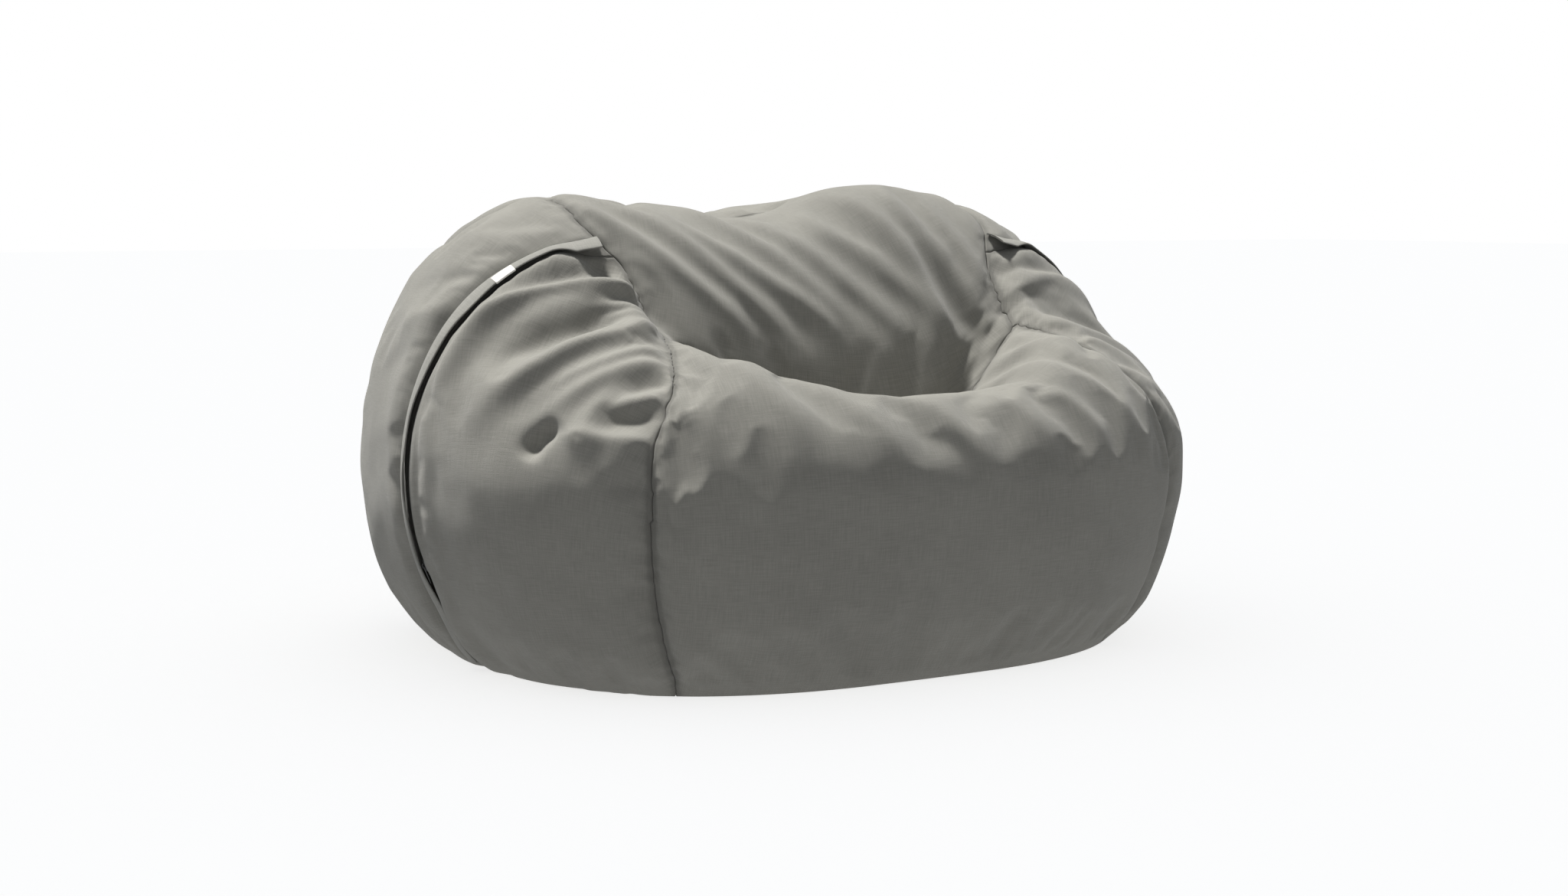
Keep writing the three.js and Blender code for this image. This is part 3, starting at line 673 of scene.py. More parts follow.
def shape_cover(bm, settings):
    """The fabric's folds and soft lumps, added to the smooth bag."""
    points, normals = places(bm), normals_of(bm)
    lift = cover_lift(points, normals, settings.fold_depth)
    tree = seam_points(bm)
    beside = np.array([tree.find(point)[2] for point in points])
    full = swell(points)
    lift = full + (lift - full) * (1.0 - 0.55 * np.exp(-((beside / 0.016) ** 2)))
    angle, radius, across = zip_frame(points)
    behind = smooth((across - 0.011) / 0.010) * smooth((0.13 - across) / 0.10)
    along = smooth((angle + 58.0) / 14.0) * smooth((84.0 - angle) / 8.0)
    before = smooth((-across - 0.0145) / 0.007) * smooth((0.085 + across) / 0.055)
    lift += (0.0055 * behind + 0.0070 * before) * along * (radius > 0.25)
    moved = points + normals * lift[:, None]
    moved[:, 2] = np.maximum(moved[:, 2], 0.0006)
    move_to(bm, moved)


def relax_as_cloth(piece, points, settings):
    """Lets the cover crumple a little as slack cloth, held at its seams, the zips and the floor."""
    mesh = piece.data
    pinned = np.zeros(len(points))
    for edge in mesh.edges:
        if edge.use_seam:
            pinned[list(edge.vertices)] = 1.0
    pinned = np.maximum(pinned, zip_cover_hold(points))
    pinned = np.maximum(pinned, smooth((0.03 - points[:, 2]) / 0.025))
    group = piece.vertex_groups.new(name="held")
    for level in range(1, 11):
        chosen = np.flatnonzero(np.round(pinned * 10) == level)
        if len(chosen):
            group.add([int(i) for i in chosen], level / 10.0, "REPLACE")
    cloth = piece.modifiers.new("slack", "CLOTH")
    cloth.settings.quality = 4
    cloth.settings.mass = 0.25
    cloth.settings.tension_stiffness = 25
    cloth.settings.compression_stiffness = 25
    cloth.settings.shear_stiffness = 8
    cloth.settings.bending_stiffness = settings.fabric_stiffness
    cloth.settings.vertex_group_mass = "held"
    cloth.settings.pin_stiffness = 4.0
    cloth.settings.shrink_min = -settings.slack
    cloth.settings.use_pressure = True
    cloth.settings.uniform_pressure_force = 1.0
    cloth.settings.effector_weights.gravity = 0.0
    cloth.collision_settings.use_collision = False
    cloth.point_cache.frame_end = settings.cloth_frames
    for number in range(1, settings.cloth_frames + 1):
        bpy.context.scene.frame_set(number)
    shown = piece.evaluated_get(bpy.context.evaluated_depsgraph_get())
    settled = mesh_points(shown.to_mesh()).copy()
    shown.to_mesh_clear()
    piece.modifiers.clear()
    piece.vertex_groups.clear()
    bpy.context.scene.frame_set(1)
    change = settled - points
    far = np.linalg.norm(change, axis=1)
    limit = 0.008
    change *= (np.minimum(far, limit) / np.maximum(far, 1e-9))[:, None]
    change *= (1.0 - pinned)[:, None]
    return points + change


def lay_flat(piece):
    """Gives each panel a UV island at its real size, in metres, with the warp upright on the bag."""
    bpy.context.view_layer.objects.active = piece
    piece.select_set(True)
    piece.data.uv_layers.new(name="cloth")
    bpy.ops.object.mode_set(mode="EDIT")
    bpy.ops.mesh.select_all(action="SELECT")
    bpy.ops.uv.unwrap(method="CONFORMAL", margin=0.0)
    bpy.ops.object.mode_set(mode="OBJECT")
    mesh = piece.data
    loops = len(mesh.loops)
    uv = np.empty(loops * 2)
    mesh.uv_layers["cloth"].data.foreach_get("uv", uv)
    uv = uv.reshape(-1, 2)
    vertex_of = np.empty(loops, int)
    mesh.loops.foreach_get("vertex_index", vertex_of)
    points = mesh_points(mesh)[vertex_of]
    start = np.empty(len(mesh.polygons), int)
    total = np.empty(len(mesh.polygons), int)
    label = np.empty(len(mesh.polygons), int)
    area = np.empty(len(mesh.polygons))
    mesh.polygons.foreach_get("loop_start", start)
    mesh.polygons.foreach_get("loop_total", total)
    mesh.attributes["panel"].data.foreach_get("value", label)
    mesh.polygons.foreach_get("area", area)
    label_of = np.repeat(label, total)
    for panel in np.unique(label):
        own = label_of == panel
        faces = np.flatnonzero(label == panel)
        flat_area = 0.0
        for face in faces:
            corner = uv[start[face]:start[face] + total[face]]
            x, y = corner[:, 0], corner[:, 1]
            flat_area += 0.5 * (np.dot(x, np.roll(y, -1)) - np.dot(y, np.roll(x, -1)))
        scale = math.sqrt(area[faces].sum() / max(abs(flat_area), 1e-12))
        local = (uv[own] - uv[own].mean(axis=0)) * scale
        upward = points[own][:, 2] if panel != BASE_LABEL else points[own][:, 1]
        slope, *_ = np.linalg.lstsq(local, upward - upward.mean(), rcond=None)
        slope /= max(np.linalg.norm(slope), 1e-9)
        turned = np.stack([local @ np.array([slope[1], -slope[0]]), local @ slope], axis=1)
        uv[own] = turned
    mesh.uv_layers["cloth"].data.foreach_set("uv", uv.ravel())


def seam_distance(mesh):
    """How far each vertex lies from the nearest seam."""
    points = mesh_points(mesh)
    label = np.empty(len(mesh.polygons), int)
    mesh.attributes["panel"].data.foreach_get("value", label)
    first = {}
    seams = []
    for polygon in mesh.polygons:
        for key in polygon.edge_keys:
            if key in first:
                if first[key] != label[polygon.index]:
                    seams.append(key)
            else:
                first[key] = label[polygon.index]
    tree = KDTree(len(seams) * 4)
    for number, (a, b) in enumerate(seams):
        for step in range(4):
            tree.insert(points[a] + (points[b] - points[a]) * (step / 4.0), number * 4 + step)
    tree.balance()
    reach = 0.09
    distance = np.full(len(points), reach)
    for number, point in enumerate(points):
        found = tree.find(point)
        distance[number] = min(found[2], reach)
    return distance


def sink_seams(mesh, settings):
    """Draws the cover in along its seams, with small puckers beside them."""
    points, normals = mesh_points(mesh), mesh_normals(mesh)
    distance = seam_distance(mesh)
    hold = zip_cover_hold(points)
    lower = smooth((points[:, 2] + 0.002) / 0.03)
    sink = settings.seam_depth * np.exp(-((distance / 0.017) ** 2)) - 0.25 * settings.seam_depth * np.exp(
        -(((distance - 0.04) / 0.02) ** 2))
    pucker = 0.0010 * waves(points, 18, 0.034, 0.018, 21) * np.exp(-((distance / 0.018) ** 2))
    lift = (pucker - sink) * (1.0 - hold) * lower
    points = points + normals * lift[:, None]
    points[:, 2] = np.maximum(points[:, 2], 0.0006)
    set_mesh_points(mesh, points)
    # seam_near is 1 on the seams and fades within a few millimetres; the cover's cloth reads it to paint
    # shade along the seam grooves.
    near = mesh.attributes.new("seam_near", "FLOAT", "POINT")
    near.data.foreach_set("value", np.exp(-((distance / 0.006) ** 2)).astype(np.float32))


def cut_out(piece, label, name):
    """One panel of the cover, with its seam allowance turned in."""
    bm = bmesh.new()
    bm.from_mesh(piece.data)
    panel = bm.faces.layers.int["panel"]
    outward = bm.verts.layers.float_vector.new("outward")
    for vertex in bm.verts:
        vertex[outward] = vertex.normal
    others = [face for face in bm.faces if face[panel] != label]
    bmesh.ops.delete(bm, geom=others, context="FACES")
    bmesh.ops.inset_region(bm, faces=bm.faces[:], thickness=0.0016, use_boundary=True, use_even_offset=False)
    bm.normal_update()
    edges = [edge for edge in bm.edges if edge.is_boundary]
    rim = list({vertex for edge in edges for vertex in edge.verts})
    for vertex in rim:
        vertex.co -= vertex[outward] * 0.0022
    turned = bmesh.ops.extrude_edge_only(bm, edges=edges)
    for vertex in turned["geom"]:
        if isinstance(vertex, bmesh.types.BMVert):
            vertex.co -= vertex[outward] * 0.006
    for vertex in bm.verts:
        vertex.co.z = max(vertex.co.z, 0.0004)
    bm.verts.layers.float_vector.remove(outward)
    return to_object(bm, name)


def grid_strip(columns, rows, place):
    """A sheet of columns by rows cells, put in place by place(u, v), with u and v arrays from 0 to 1."""
    bm = bmesh.new()
    bmesh.ops.create_grid(bm, x_segments=columns, y_segments=rows, size=0.5)
    flat = places(bm)[:, :2] + 0.5
    move_to(bm, place(flat[:, 0], flat[:, 1]))
    cloth = bm.loops.layers.uv.new("cloth")
    long = np.linalg.norm(np.diff(place(np.linspace(0, 1, 50), np.full(50, 0.5)), axis=0), axis=1).sum()
    wide = np.linalg.norm(np.diff(place(np.full(50, 0.5), np.linspace(0, 1, 50)), axis=0), axis=1).sum()
    for face in bm.faces:
        for loop in face.loops:
            u, v = flat[loop.vert.index]
            loop[cloth].uv = (u * long, v * wide)
    return bm


def join_in(bm, other):
    """Adds another shape to a shape, and lets the other go."""
    spare = bpy.data.meshes.new("spare")
    other.to_mesh(spare)
    other.free()
    bm.from_mesh(spare)
    bpy.data.meshes.remove(spare)


def along_run(run, v):
    """The points at places v, from 0 to 1, along a run of points."""
    spot = v * (len(run) - 1)
    low = np.minimum(spot.astype(int), len(run) - 2)
    part = (spot - low)[:, None]
    return run[low] * (1.0 - part) + run[low + 1] * part


def round_edges(bm, width, segments=1):
    bmesh.ops.bevel(bm, geom=bm.edges[:], offset=width, segments=segments, profile=0.5, affect="EDGES",
                    material=-1)


def thicken(piece, thickness, offset=-1.0, even=True):
    """Gives a sheet its thickness."""
    wall = piece.modifiers.new("thickness", "SOLIDIFY")
    wall.thickness = thickness
    wall.offset = offset
    wall.use_even_offset = even
    apply_modifiers(piece)
    return piece


def soften(piece, levels=1):
    curve = piece.modifiers.new("soft", "SUBSURF")
    curve.levels = levels
    curve.render_levels = levels
    apply_modifiers(piece)
    return piece


def other_side(bm):
    """Turns a right-hand shape into the left-hand one."""
    bmesh.ops.scale(bm, vec=(-1.0, 1.0, 1.0), verts=bm.verts[:])
    bmesh.ops.reverse_faces(bm, faces=bm.faces[:])


def cover_radius(degrees, across):
    """The smooth cover's distance from the zip's centre line, by angle and place across."""
    turn = np.radians(degrees)
    directions = np.outer(np.cos(turn), ZIP_OUT)
    directions[:, 2] = np.sin(turn)
    radius = reach_along(ZIP_CENTRE + np.outer(across, ZIP_BACK), directions)
    return radius + (ZIP_RADIUS - radius) * track_hold(degrees) * beside_track(across)


HEM_FRONT, HEM_BACK = -0.0144, 0.0215
HEM_CLEAR = 0.0084  # above the zip's circle, to pass the slider
HEM_LOW, HEM_TURN = -47.0, 126.5  # degrees
LABEL_ANGLE, LABEL_LONG = 55.0, 0.032
STITCH_LOW, STITCH_HIGH, STITCH_STEP = -45.0, 78.0, 0.56  # degrees
STITCH_LINE, STITCH_STAND = 0.0165, 0.0021
STITCH_SIZE = (0.0024, 0.0006, 0.0006)


def hem_radius(degrees, across):
    """The hem's underside: clear of the slider at its free edge, and on the shoulder at its stitched edge."""
    count = len(degrees)
    settling = 0.0045 * smooth((degrees - 66.0) / 12.0)
    degrees = np.minimum(degrees, 73.0)
    free = cover_radius(degrees, np.full(count, HEM_FRONT)) + HEM_CLEAR
    sewn = cover_radius(degrees, np.full(count, HEM_BACK)) + 0.0052
    sewn = np.maximum(sewn, free - 0.004)
    part = np.clip((across - HEM_FRONT) / (HEM_BACK - HEM_FRONT), -0.1, 1.0)
    return free + (sewn - free) * part + 0.0020 * np.sin(np.clip(part, 0.0, 1.0) * math.pi) - settling


def by_zip(degrees, radius, across):
    """Points at angles in degrees, distances from the zip's centre and places across the zip."""
    turn = np.radians(degrees)
    out = (radius * np.cos(turn))[:, None] * ZIP_OUT
    out[:, 2] = radius * np.sin(turn)
    return ZIP_CENTRE + out + np.outer(across, ZIP_BACK)


def zip_matrix(degrees):
    """Puts a small shape on the zip: its x along the zip, y across it, z out from the circle."""
    turn = math.radians(degrees)
    out = Vector(ZIP_OUT * math.cos(turn)) + Vector((0.0, 0.0, math.sin(turn)))
    back = Vector(ZIP_BACK)
    along = back.cross(out)
    origin = Vector(ZIP_CENTRE) + out * ZIP_RADIUS
    matrix = Matrix((along, back, out)).transposed().to_4x4()
    matrix.translation = origin
    return matrix


# ==== finishes ====

ROOT = "root"
MADE = "_made"


def nodes_for(name):
    material = bpy.data.materials.new(name)
    material.use_nodes = True
    nodes, links = material.node_tree.nodes, material.node_tree.links
    return material, nodes, links, nodes["Principled BSDF"]


def math_node(nodes, links, operation, first, second=None):
    node = nodes.new("ShaderNodeMath")
    node.operation = operation
    for socket, value in zip(node.inputs, (first, second)):
        if value is None:
            continue
        if isinstance(value, (int, float)):
            socket.default_value = value
        else:
            links.new(value, socket)
    return node.outputs[0]


def noise_node(nodes, links, vector, scale, detail=3.0, rough=0.55, stretch=None):
    if stretch is not None:
        mapping = nodes.new("ShaderNodeMapping")
        mapping.inputs["Scale"].default_value = stretch
        links.new(vector, mapping.inputs["Vector"])
        vector = mapping.outputs[0]
    noise = nodes.new("ShaderNodeTexNoise")
    noise.inputs["Scale"].default_value = scale
    noise.inputs["Detail"].default_value = detail
    noise.inputs["Roughness"].default_value = rough
    links.new(vector, noise.inputs["Vector"])
    return noise.outputs["Fac"]


def tint_node(nodes, links, dark, light, factor):
    ramp = nodes.new("ShaderNodeMix")
    ramp.data_type = "RGBA"
    ramp.inputs[6].default_value = (*dark, 1.0)
    ramp.inputs[7].default_value = (*light, 1.0)
    links.new(factor, ramp.inputs[0])
    return ramp.outputs[2]


def woven(name, colour, pitch, contrast=0.15, bump=0.5, rough=0.92, sheen=0.2, seams=False):
    """A plain weave with uneven threads, on the cloth's own UV map in metres, and with seams, painted shade
    along the seam grooves.
    """
    material, nodes, links, shader = nodes_for(name)
    uv = nodes.new("ShaderNodeUVMap")
    uv.uv_map = "cloth"
    split = nodes.new("ShaderNodeSeparateXYZ")
    links.new(uv.outputs[0], split.inputs[0])
    turn = 2.0 * math.pi / pitch
    warp = math_node(nodes, links, "SINE", math_node(nodes, links, "MULTIPLY", split.outputs[0], turn))
    weft = math_node(nodes, links, "SINE", math_node(nodes, links, "MULTIPLY", split.outputs[1], turn))
    weave = math_node(nodes, links, "MULTIPLY", warp, weft)
    warp_slub = noise_node(nodes, links, uv.outputs[0], 1.0, 4.0, 0.6, (700.0, 28.0, 1.0))
    weft_slub = noise_node(nodes, links, uv.outputs[0], 1.0, 4.0, 0.6, (28.0, 700.0, 1.0))
    slub = math_node(nodes, links, "ADD", warp_slub, weft_slub)
    coordinates = nodes.new("ShaderNodeTexCoord")
    cloud = noise_node(nodes, links, coordinates.outputs["Object"], 7.0, 3.0)
    blend = math_node(nodes, links, "ADD", math_node(nodes, links, "MULTIPLY", slub, 0.75),
                      math_node(nodes, links, "MULTIPLY", cloud, 0.5))
    blend = math_node(nodes, links, "SUBTRACT", blend, 0.5)
    blend = math_node(nodes, links, "ADD", blend, math_node(nodes, links, "MULTIPLY", weave, 0.10))
    # Painted shade: the cloth darkens along its seams, in the grooves that the seams draw in.
    if seams:
        near = nodes.new("ShaderNodeAttribute")
        near.attribute_name = "seam_near"
        painted_shade_and_edge_tone = math_node(nodes, links, "MULTIPLY", near.outputs["Fac"], 0.9)
        blend = math_node(nodes, links, "SUBTRACT", blend, painted_shade_and_edge_tone)
    dark = tuple(c * (1.0 - contrast * 2.0) for c in colour)
    light = tuple(min(1.0, c * (1.0 + contrast * 2.0)) for c in colour)
    clamp = nodes.new("ShaderNodeClamp")
    links.new(blend, clamp.inputs[0])
    links.new(tint_node(nodes, links, dark, light, clamp.outputs[0]), shader.inputs["Base Color"])
    height = math_node(nodes, links, "ADD", math_node(nodes, links, "MULTIPLY", weave, 0.5), slub)
    relief = nodes.new("ShaderNodeBump")
    relief.inputs["Strength"].default_value = bump
    relief.inputs["Distance"].default_value = 0.0006
    links.new(height, relief.inputs["Height"])
    links.new(relief.outputs[0], shader.inputs["Normal"])
    roughness = math_node(nodes, links, "ADD", math_node(nodes, links, "MULTIPLY", cloud, 0.08), rough - 0.04)
    links.new(roughness, shader.inputs["Roughness"])
    shader.inputs["Sheen Weight"].default_value = sheen
    shader.inputs["Sheen Roughness"].default_value = 0.45
    shader.inputs["Specular IOR Level"].default_value = 0.25
    return material


def moulded(name, colour, rough, metallic=0.0, grain=900.0, bump=0.15):
    """Plastic or metal with a fine grain, lighter on its convex edges and darker in its hollows, the hollows'
    darkening being painted shade.
    """
    material, nodes, links, shader = nodes_for(name)
    coordinates = nodes.new("ShaderNodeTexCoord")
    fine = noise_node(nodes, links, coordinates.outputs["Object"], grain, 3.0)
    broad = noise_node(nodes, links, coordinates.outputs["Object"], 60.0, 2.0)
    geometry = nodes.new("ShaderNodeNewGeometry")
    # Pointiness lightens convex edges and darkens hollows; the darker hollows are painted shade.
    edge = math_node(nodes, links, "SUBTRACT", geometry.outputs["Pointiness"], 0.5)
    painted_shade_and_edge_tone = math_node(nodes, links, "MULTIPLY", edge, 4.0)
    blend = math_node(nodes, links, "ADD", math_node(nodes, links, "MULTIPLY", broad, 0.7), painted_shade_and_edge_tone)
    clamp = nodes.new("ShaderNodeClamp")
    links.new(blend, clamp.inputs[0])
    dark = tuple(c * 0.85 for c in colour)
    light = tuple(min(1.0, c * 1.2) for c in colour)
    links.new(tint_node(nodes, links, dark, light, clamp.outputs[0]), shader.inputs["Base Color"])
    roughness = math_node(nodes, links, "ADD", math_node(nodes, links, "MULTIPLY", fine, 0.2), rough - 0.1)
    links.new(roughness, shader.inputs["Roughness"])
    shader.inputs["Metallic"].default_value = metallic
    relief = nodes.new("ShaderNodeBump")
    relief.inputs["Strength"].default_value = bump
    relief.inputs["Distance"].default_value = 0.0002
    links.new(fine, relief.inputs["Height"])
    links.new(relief.outputs[0], shader.inputs["Normal"])
    return material


def beaded(name, colour):
    """Foam beads, packed close, with painted shade darkening the gaps between them."""
    material, nodes, links, shader = nodes_for(name)
    coordinates = nodes.new("ShaderNodeTexCoord")
    beads = nodes.new("ShaderNodeTexVoronoi")
    beads.inputs["Scale"].default_value = 220.0
    links.new(coordinates.outputs["Object"], beads.inputs["Vector"])
    # Painted shade: each bead darkens towards its rim, into the gaps between beads; the same pattern also
    # gives the bump.
    dark = tuple(c * 0.55 for c in colour)
    bead_dome_and_gap_shade = math_node(nodes, links, "SUBTRACT", 1.0, beads.outputs["Distance"])
    links.new(tint_node(nodes, links, dark, colour, bead_dome_and_gap_shade), shader.inputs["Base Color"])
    shader.inputs["Roughness"].default_value = 0.6
    relief = nodes.new("ShaderNodeBump")
    relief.inputs["Strength"].default_value = 0.9
    relief.inputs["Distance"].default_value = 0.003
    links.new(bead_dome_and_gap_shade, relief.inputs["Height"])
    links.new(relief.outputs[0], shader.inputs["Normal"])
    return material


def shared(name, make):
    """A finish, made the first time that a piece asks for it."""
    return bpy.data.materials.get(name) or make(name)


def tape_cloth(settings):
    return shared("zip_tape", lambda name: woven(name, settings.tape_colour[:], 0.0008, 0.08, 0.5, 0.85, 0.1))


def teeth_plastic(settings):
    return shared("zip_plastic", lambda name: moulded(name, settings.teeth_colour[:], 0.42))


def slider_metal(settings):
    return shared("slider_metal", lambda name: moulded(name, settings.slider_colour[:], 0.38, 0.9, 1500.0,
                                                       0.1))


def finish(piece, material, body=ROOT):
    """Gives a piece its finish and its place in the frame. Its name is its node's with MADE after it."""
    piece.data.materials.clear()
    piece.data.materials.append(material)
    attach(piece, body)
    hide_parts(piece.name.removesuffix(MADE))
    return piece


# ==== settings ====


class BeanBagCoverSettings(bpy.types.PropertyGroup):
    colour: FloatVectorProperty(name="Fabric", description="Colour of the cover's cloth", subtype="COLOR",
                                default=(0.235, 0.230, 0.208), min=0.0, max=1.0)
    # The hem's colour is a little lighter than the cover's: painted light on the raised hem.
    hem_lit_colour: FloatVectorProperty(name="Hem", description="Colour of the folded hems", subtype="COLOR",
                                    default=(0.245, 0.242, 0.222), min=0.0, max=1.0)
    grid_cells: IntProperty(name="Cells", description="Cells along each side of the cover's grid",
                            default=108, min=24)
    thread_pitch: FloatProperty(name="Thread pitch", description="Distance between threads", default=0.0011,
                                subtype="DISTANCE")
    fold_depth: FloatProperty(name="Fold depth", description="Scale of every fold", default=1.0, min=0.0)
    seam_depth: FloatProperty(name="Seam depth", description="How far seams draw the cover in",
                              default=0.0055,
                              subtype="DISTANCE")
    slack: FloatProperty(name="Slack", description="Share by which the cloth is larger than the bag",
                         default=0.02)
    fabric_stiffness: FloatProperty(name="Stiffness", description="Bending stiffness of the cloth",
                                    default=4.0)
    cloth_frames: IntProperty(name="Settling", description="Steps for which the cloth settles", default=12,
                              min=1)


class BeanBagZipSettings(bpy.types.PropertyGroup):
    tape_colour: FloatVectorProperty(name="Tape", description="Colour of the zip tapes", subtype="COLOR",
                                     default=(0.105, 0.103, 0.094), min=0.0, max=1.0)
    teeth_colour: FloatVectorProperty(name="Teeth", description="Colour of the zip teeth", subtype="COLOR",
                                      default=(0.072, 0.070, 0.064), min=0.0, max=1.0)
    slider_colour: FloatVectorProperty(name="Slider", description="Colour of the sliders and pulls",
                                       subtype="COLOR",
                                       default=(0.24, 0.24, 0.24), min=0.0, max=1.0)
    label_colour: FloatVectorProperty(name="Label", description="Colour of the fold label", subtype="COLOR",
                                      default=(0.83, 0.81, 0.76), min=0.0, max=1.0)
    tooth_pitch: FloatProperty(name="Tooth pitch", description="Distance between teeth", default=0.0026,
                               subtype="DISTANCE")
    slider_angle: FloatProperty(name="Slider place", description="The slider's place, in degrees above level",
                                default=-21.5)


class BeanBagInsideSettings(bpy.types.PropertyGroup):
    liner_colour: FloatVectorProperty(name="Liner", description="Colour of the liner", subtype="COLOR",
                                      default=(0.78, 0.76, 0.71), min=0.0, max=1.0)
    bead_colour: FloatVectorProperty(name="Beads", description="Colour of the bead filling", subtype="COLOR",
                                     default=(0.90, 0.90, 0.88), min=0.0, max=1.0)
    liner_depth: FloatProperty(name="Liner depth", description="How far the liner lies inside the cover",
                               default=0.0125, subtype="DISTANCE")
    filling_depth: FloatProperty(name="Filling depth", description="How far in the filling lies",
                                 default=0.016, subtype="DISTANCE")


class BeanBagStageSettings(bpy.types.PropertyGroup):
    azimuth: FloatProperty(name="Azimuth", description="Camera's turn round the chair, in degrees",
                           default=-30.965)
    elevation: FloatProperty(name="Elevation", description="Camera's height angle, in degrees", default=6.1)
    distance: FloatProperty(name="Distance", description="Camera's distance", default=3.5, subtype="DISTANCE")
    lens: FloatProperty(name="Lens", description="Focal length in millimetres", default=52.09)
    key: FloatProperty(name="Key light", description="Strength of the key light", default=6.6)
    fill: FloatProperty(name="Fill light", description="Strength of the light from all round", default=0.34)


# ==== pieces ====

PANELS = ["front_seat_panel", "backrest_panel", "rear_panel", "right_arm_panel", "left_arm_panel",
          "right_shoulder_panel", "left_shoulder_panel", "base_panel"]
SIDES = (("right", 1.0), ("left", -1.0))


class BEANBAG_OT_cover(bpy.types.Operator):
    """Make the cover's eight panels, folded, settled and sewn"""

    bl_idname = "beanbag.cover"
    bl_label = "Cover panels"

    def execute(self, context):
        settings = context.scene.beanbag_cover
        shapes = outlines(seam_lines())
        bm = round_grid(settings.grid_cells)
        snap_to_seams(bm, shapes)
        shape_cover(bm, settings)
        bag = to_object(bm, "cover_whole")
        points = mesh_points(bag.data)
        set_mesh_points(bag.data, relax_as_cloth(bag, points, settings))
        lay_flat(bag)
        soften(bag)
        sink_seams(bag.data, settings)
        # The cover's cloth carries painted shade along its seams.
        cloth = shared("cover_cloth", lambda name: woven(name, settings.colour[:], settings.thread_pitch,
                                                         seams=True))
        for label, name in enumerate(PANELS):
            piece = cut_out(bag, label, name + MADE)
            finish(piece, cloth)
        bpy.data.objects.remove(bag, do_unlink=True)
        return {"FINISHED"}


def stitch(piece, turn):
    """Sews the hem down with a row of stitches along its back."""
    bm = bmesh.new()
    bm.from_mesh(piece.data)
    sewn = bmesh.new()
    degrees = np.arange(STITCH_LOW, STITCH_HIGH, STITCH_STEP)
    heights = hem_radius(degrees, np.full(len(degrees), STITCH_LINE)) + STITCH_STAND - ZIP_RADIUS
    for angle, height in zip(degrees, heights):
        thread = bmesh.ops.create_cube(sewn, size=1.0)["verts"]
        bmesh.ops.scale(sewn, vec=STITCH_SIZE, verts=thread)
        bmesh.ops.translate(sewn, vec=(0.0, STITCH_LINE, float(height)), verts=thread)
        bmesh.ops.transform(sewn, matrix=zip_matrix(float(angle)), verts=thread)
    if turn < 0:
        other_side(sewn)
    join_in(bm, sewn)
    bm.to_mesh(piece.data)
    bm.free()


def crush(piece):
    """Gives the piece its own copy of its mesh."""
    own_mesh(piece)


class BEANBAG_OT_flaps(bpy.types.Operator):
    """Make the folded hem that covers each side zip"""

    bl_idname = "beanbag.flaps"
    bl_label = "Zip flaps"

    def execute(self, context):
        settings = context.scene.beanbag_cover
        section = [(0.0215, 0.0), (0.0195, 0.0012), (0.0160, 0.0016), (0.0060, 0.0018), (-0.0060, 0.0017),
                   (-0.0125, 0.0016), (-0.0142, 0.0012), (-0.0144, 0.0004), (-0.0130, -0.0001),
                   (0.0, -0.0001),
                   (0.0120, -0.0003)]
        run = through(section, 40)

        def place(u, v):
            degrees = HEM_LOW + HEM_TURN * u
            across, height = along_run(run, v).T
            sway = 0.0007 * np.sin(degrees * 0.21 + 1.0) + 0.0005 * np.sin(degrees * 0.53)
            edge = smooth((0.004 - across) / 0.016)
            across = across + sway * edge
            height = height + 0.0006 * np.sin(degrees * 0.33 + 2.0) * edge
            return by_zip(degrees, hem_radius(degrees, across) + height, across)

        # The hem's cloth is a lighter copy of the cover's: painted light.
        cloth = shared("hem_cloth", lambda name: woven(name, settings.hem_lit_colour[:], settings.thread_pitch))
        for side, turn in SIDES:
            bm = grid_strip(220, 26, place)
            for vertex in bm.verts:
                vertex.co.z = max(vertex.co.z, 0.0004)
            if turn < 0:
                other_side(bm)
            piece = thicken(to_object(bm, f"{side}_zip_flap{MADE}"), 0.0007, 0.0)
            finish(piece, cloth)
            stitch(piece, turn)
            crush(piece)
        return {"FINISHED"}


class BEANBAG_OT_label(bpy.types.Operator):
    """Make the blank label folded over the right hem's edge"""

    bl_idname = "beanbag.label"
    bl_label = "Fold label"

    def execute(self, context):
        settings = context.scene.beanbag_zips
        run = through([(0.0060, 0.0023), (0.0, 0.0024), (-0.0090, 0.0025), (-0.0138, 0.0022),
                       (-0.0158, 0.0012),
                       (-0.0159, -0.0002), (-0.0150, -0.0010)], 26)

        def place(u, v):
            degrees = LABEL_ANGLE + (u - 0.5) * math.degrees(LABEL_LONG / ZIP_RADIUS)
            across, height = along_run(run, v).T
            return by_zip(degrees, hem_radius(degrees, across) + height, across)

        bm = grid_strip(16, 20, place)
        piece = thicken(to_object(bm, "label_tag" + MADE), 0.0006, 0.0)
        satin = shared("label_satin", lambda name: woven(name, settings.label_colour[:], 0.0005, 0.03, 0.15,
                                                         0.6, 0.1))
        finish(piece, satin)
        crush(piece)
        return {"FINISHED"}


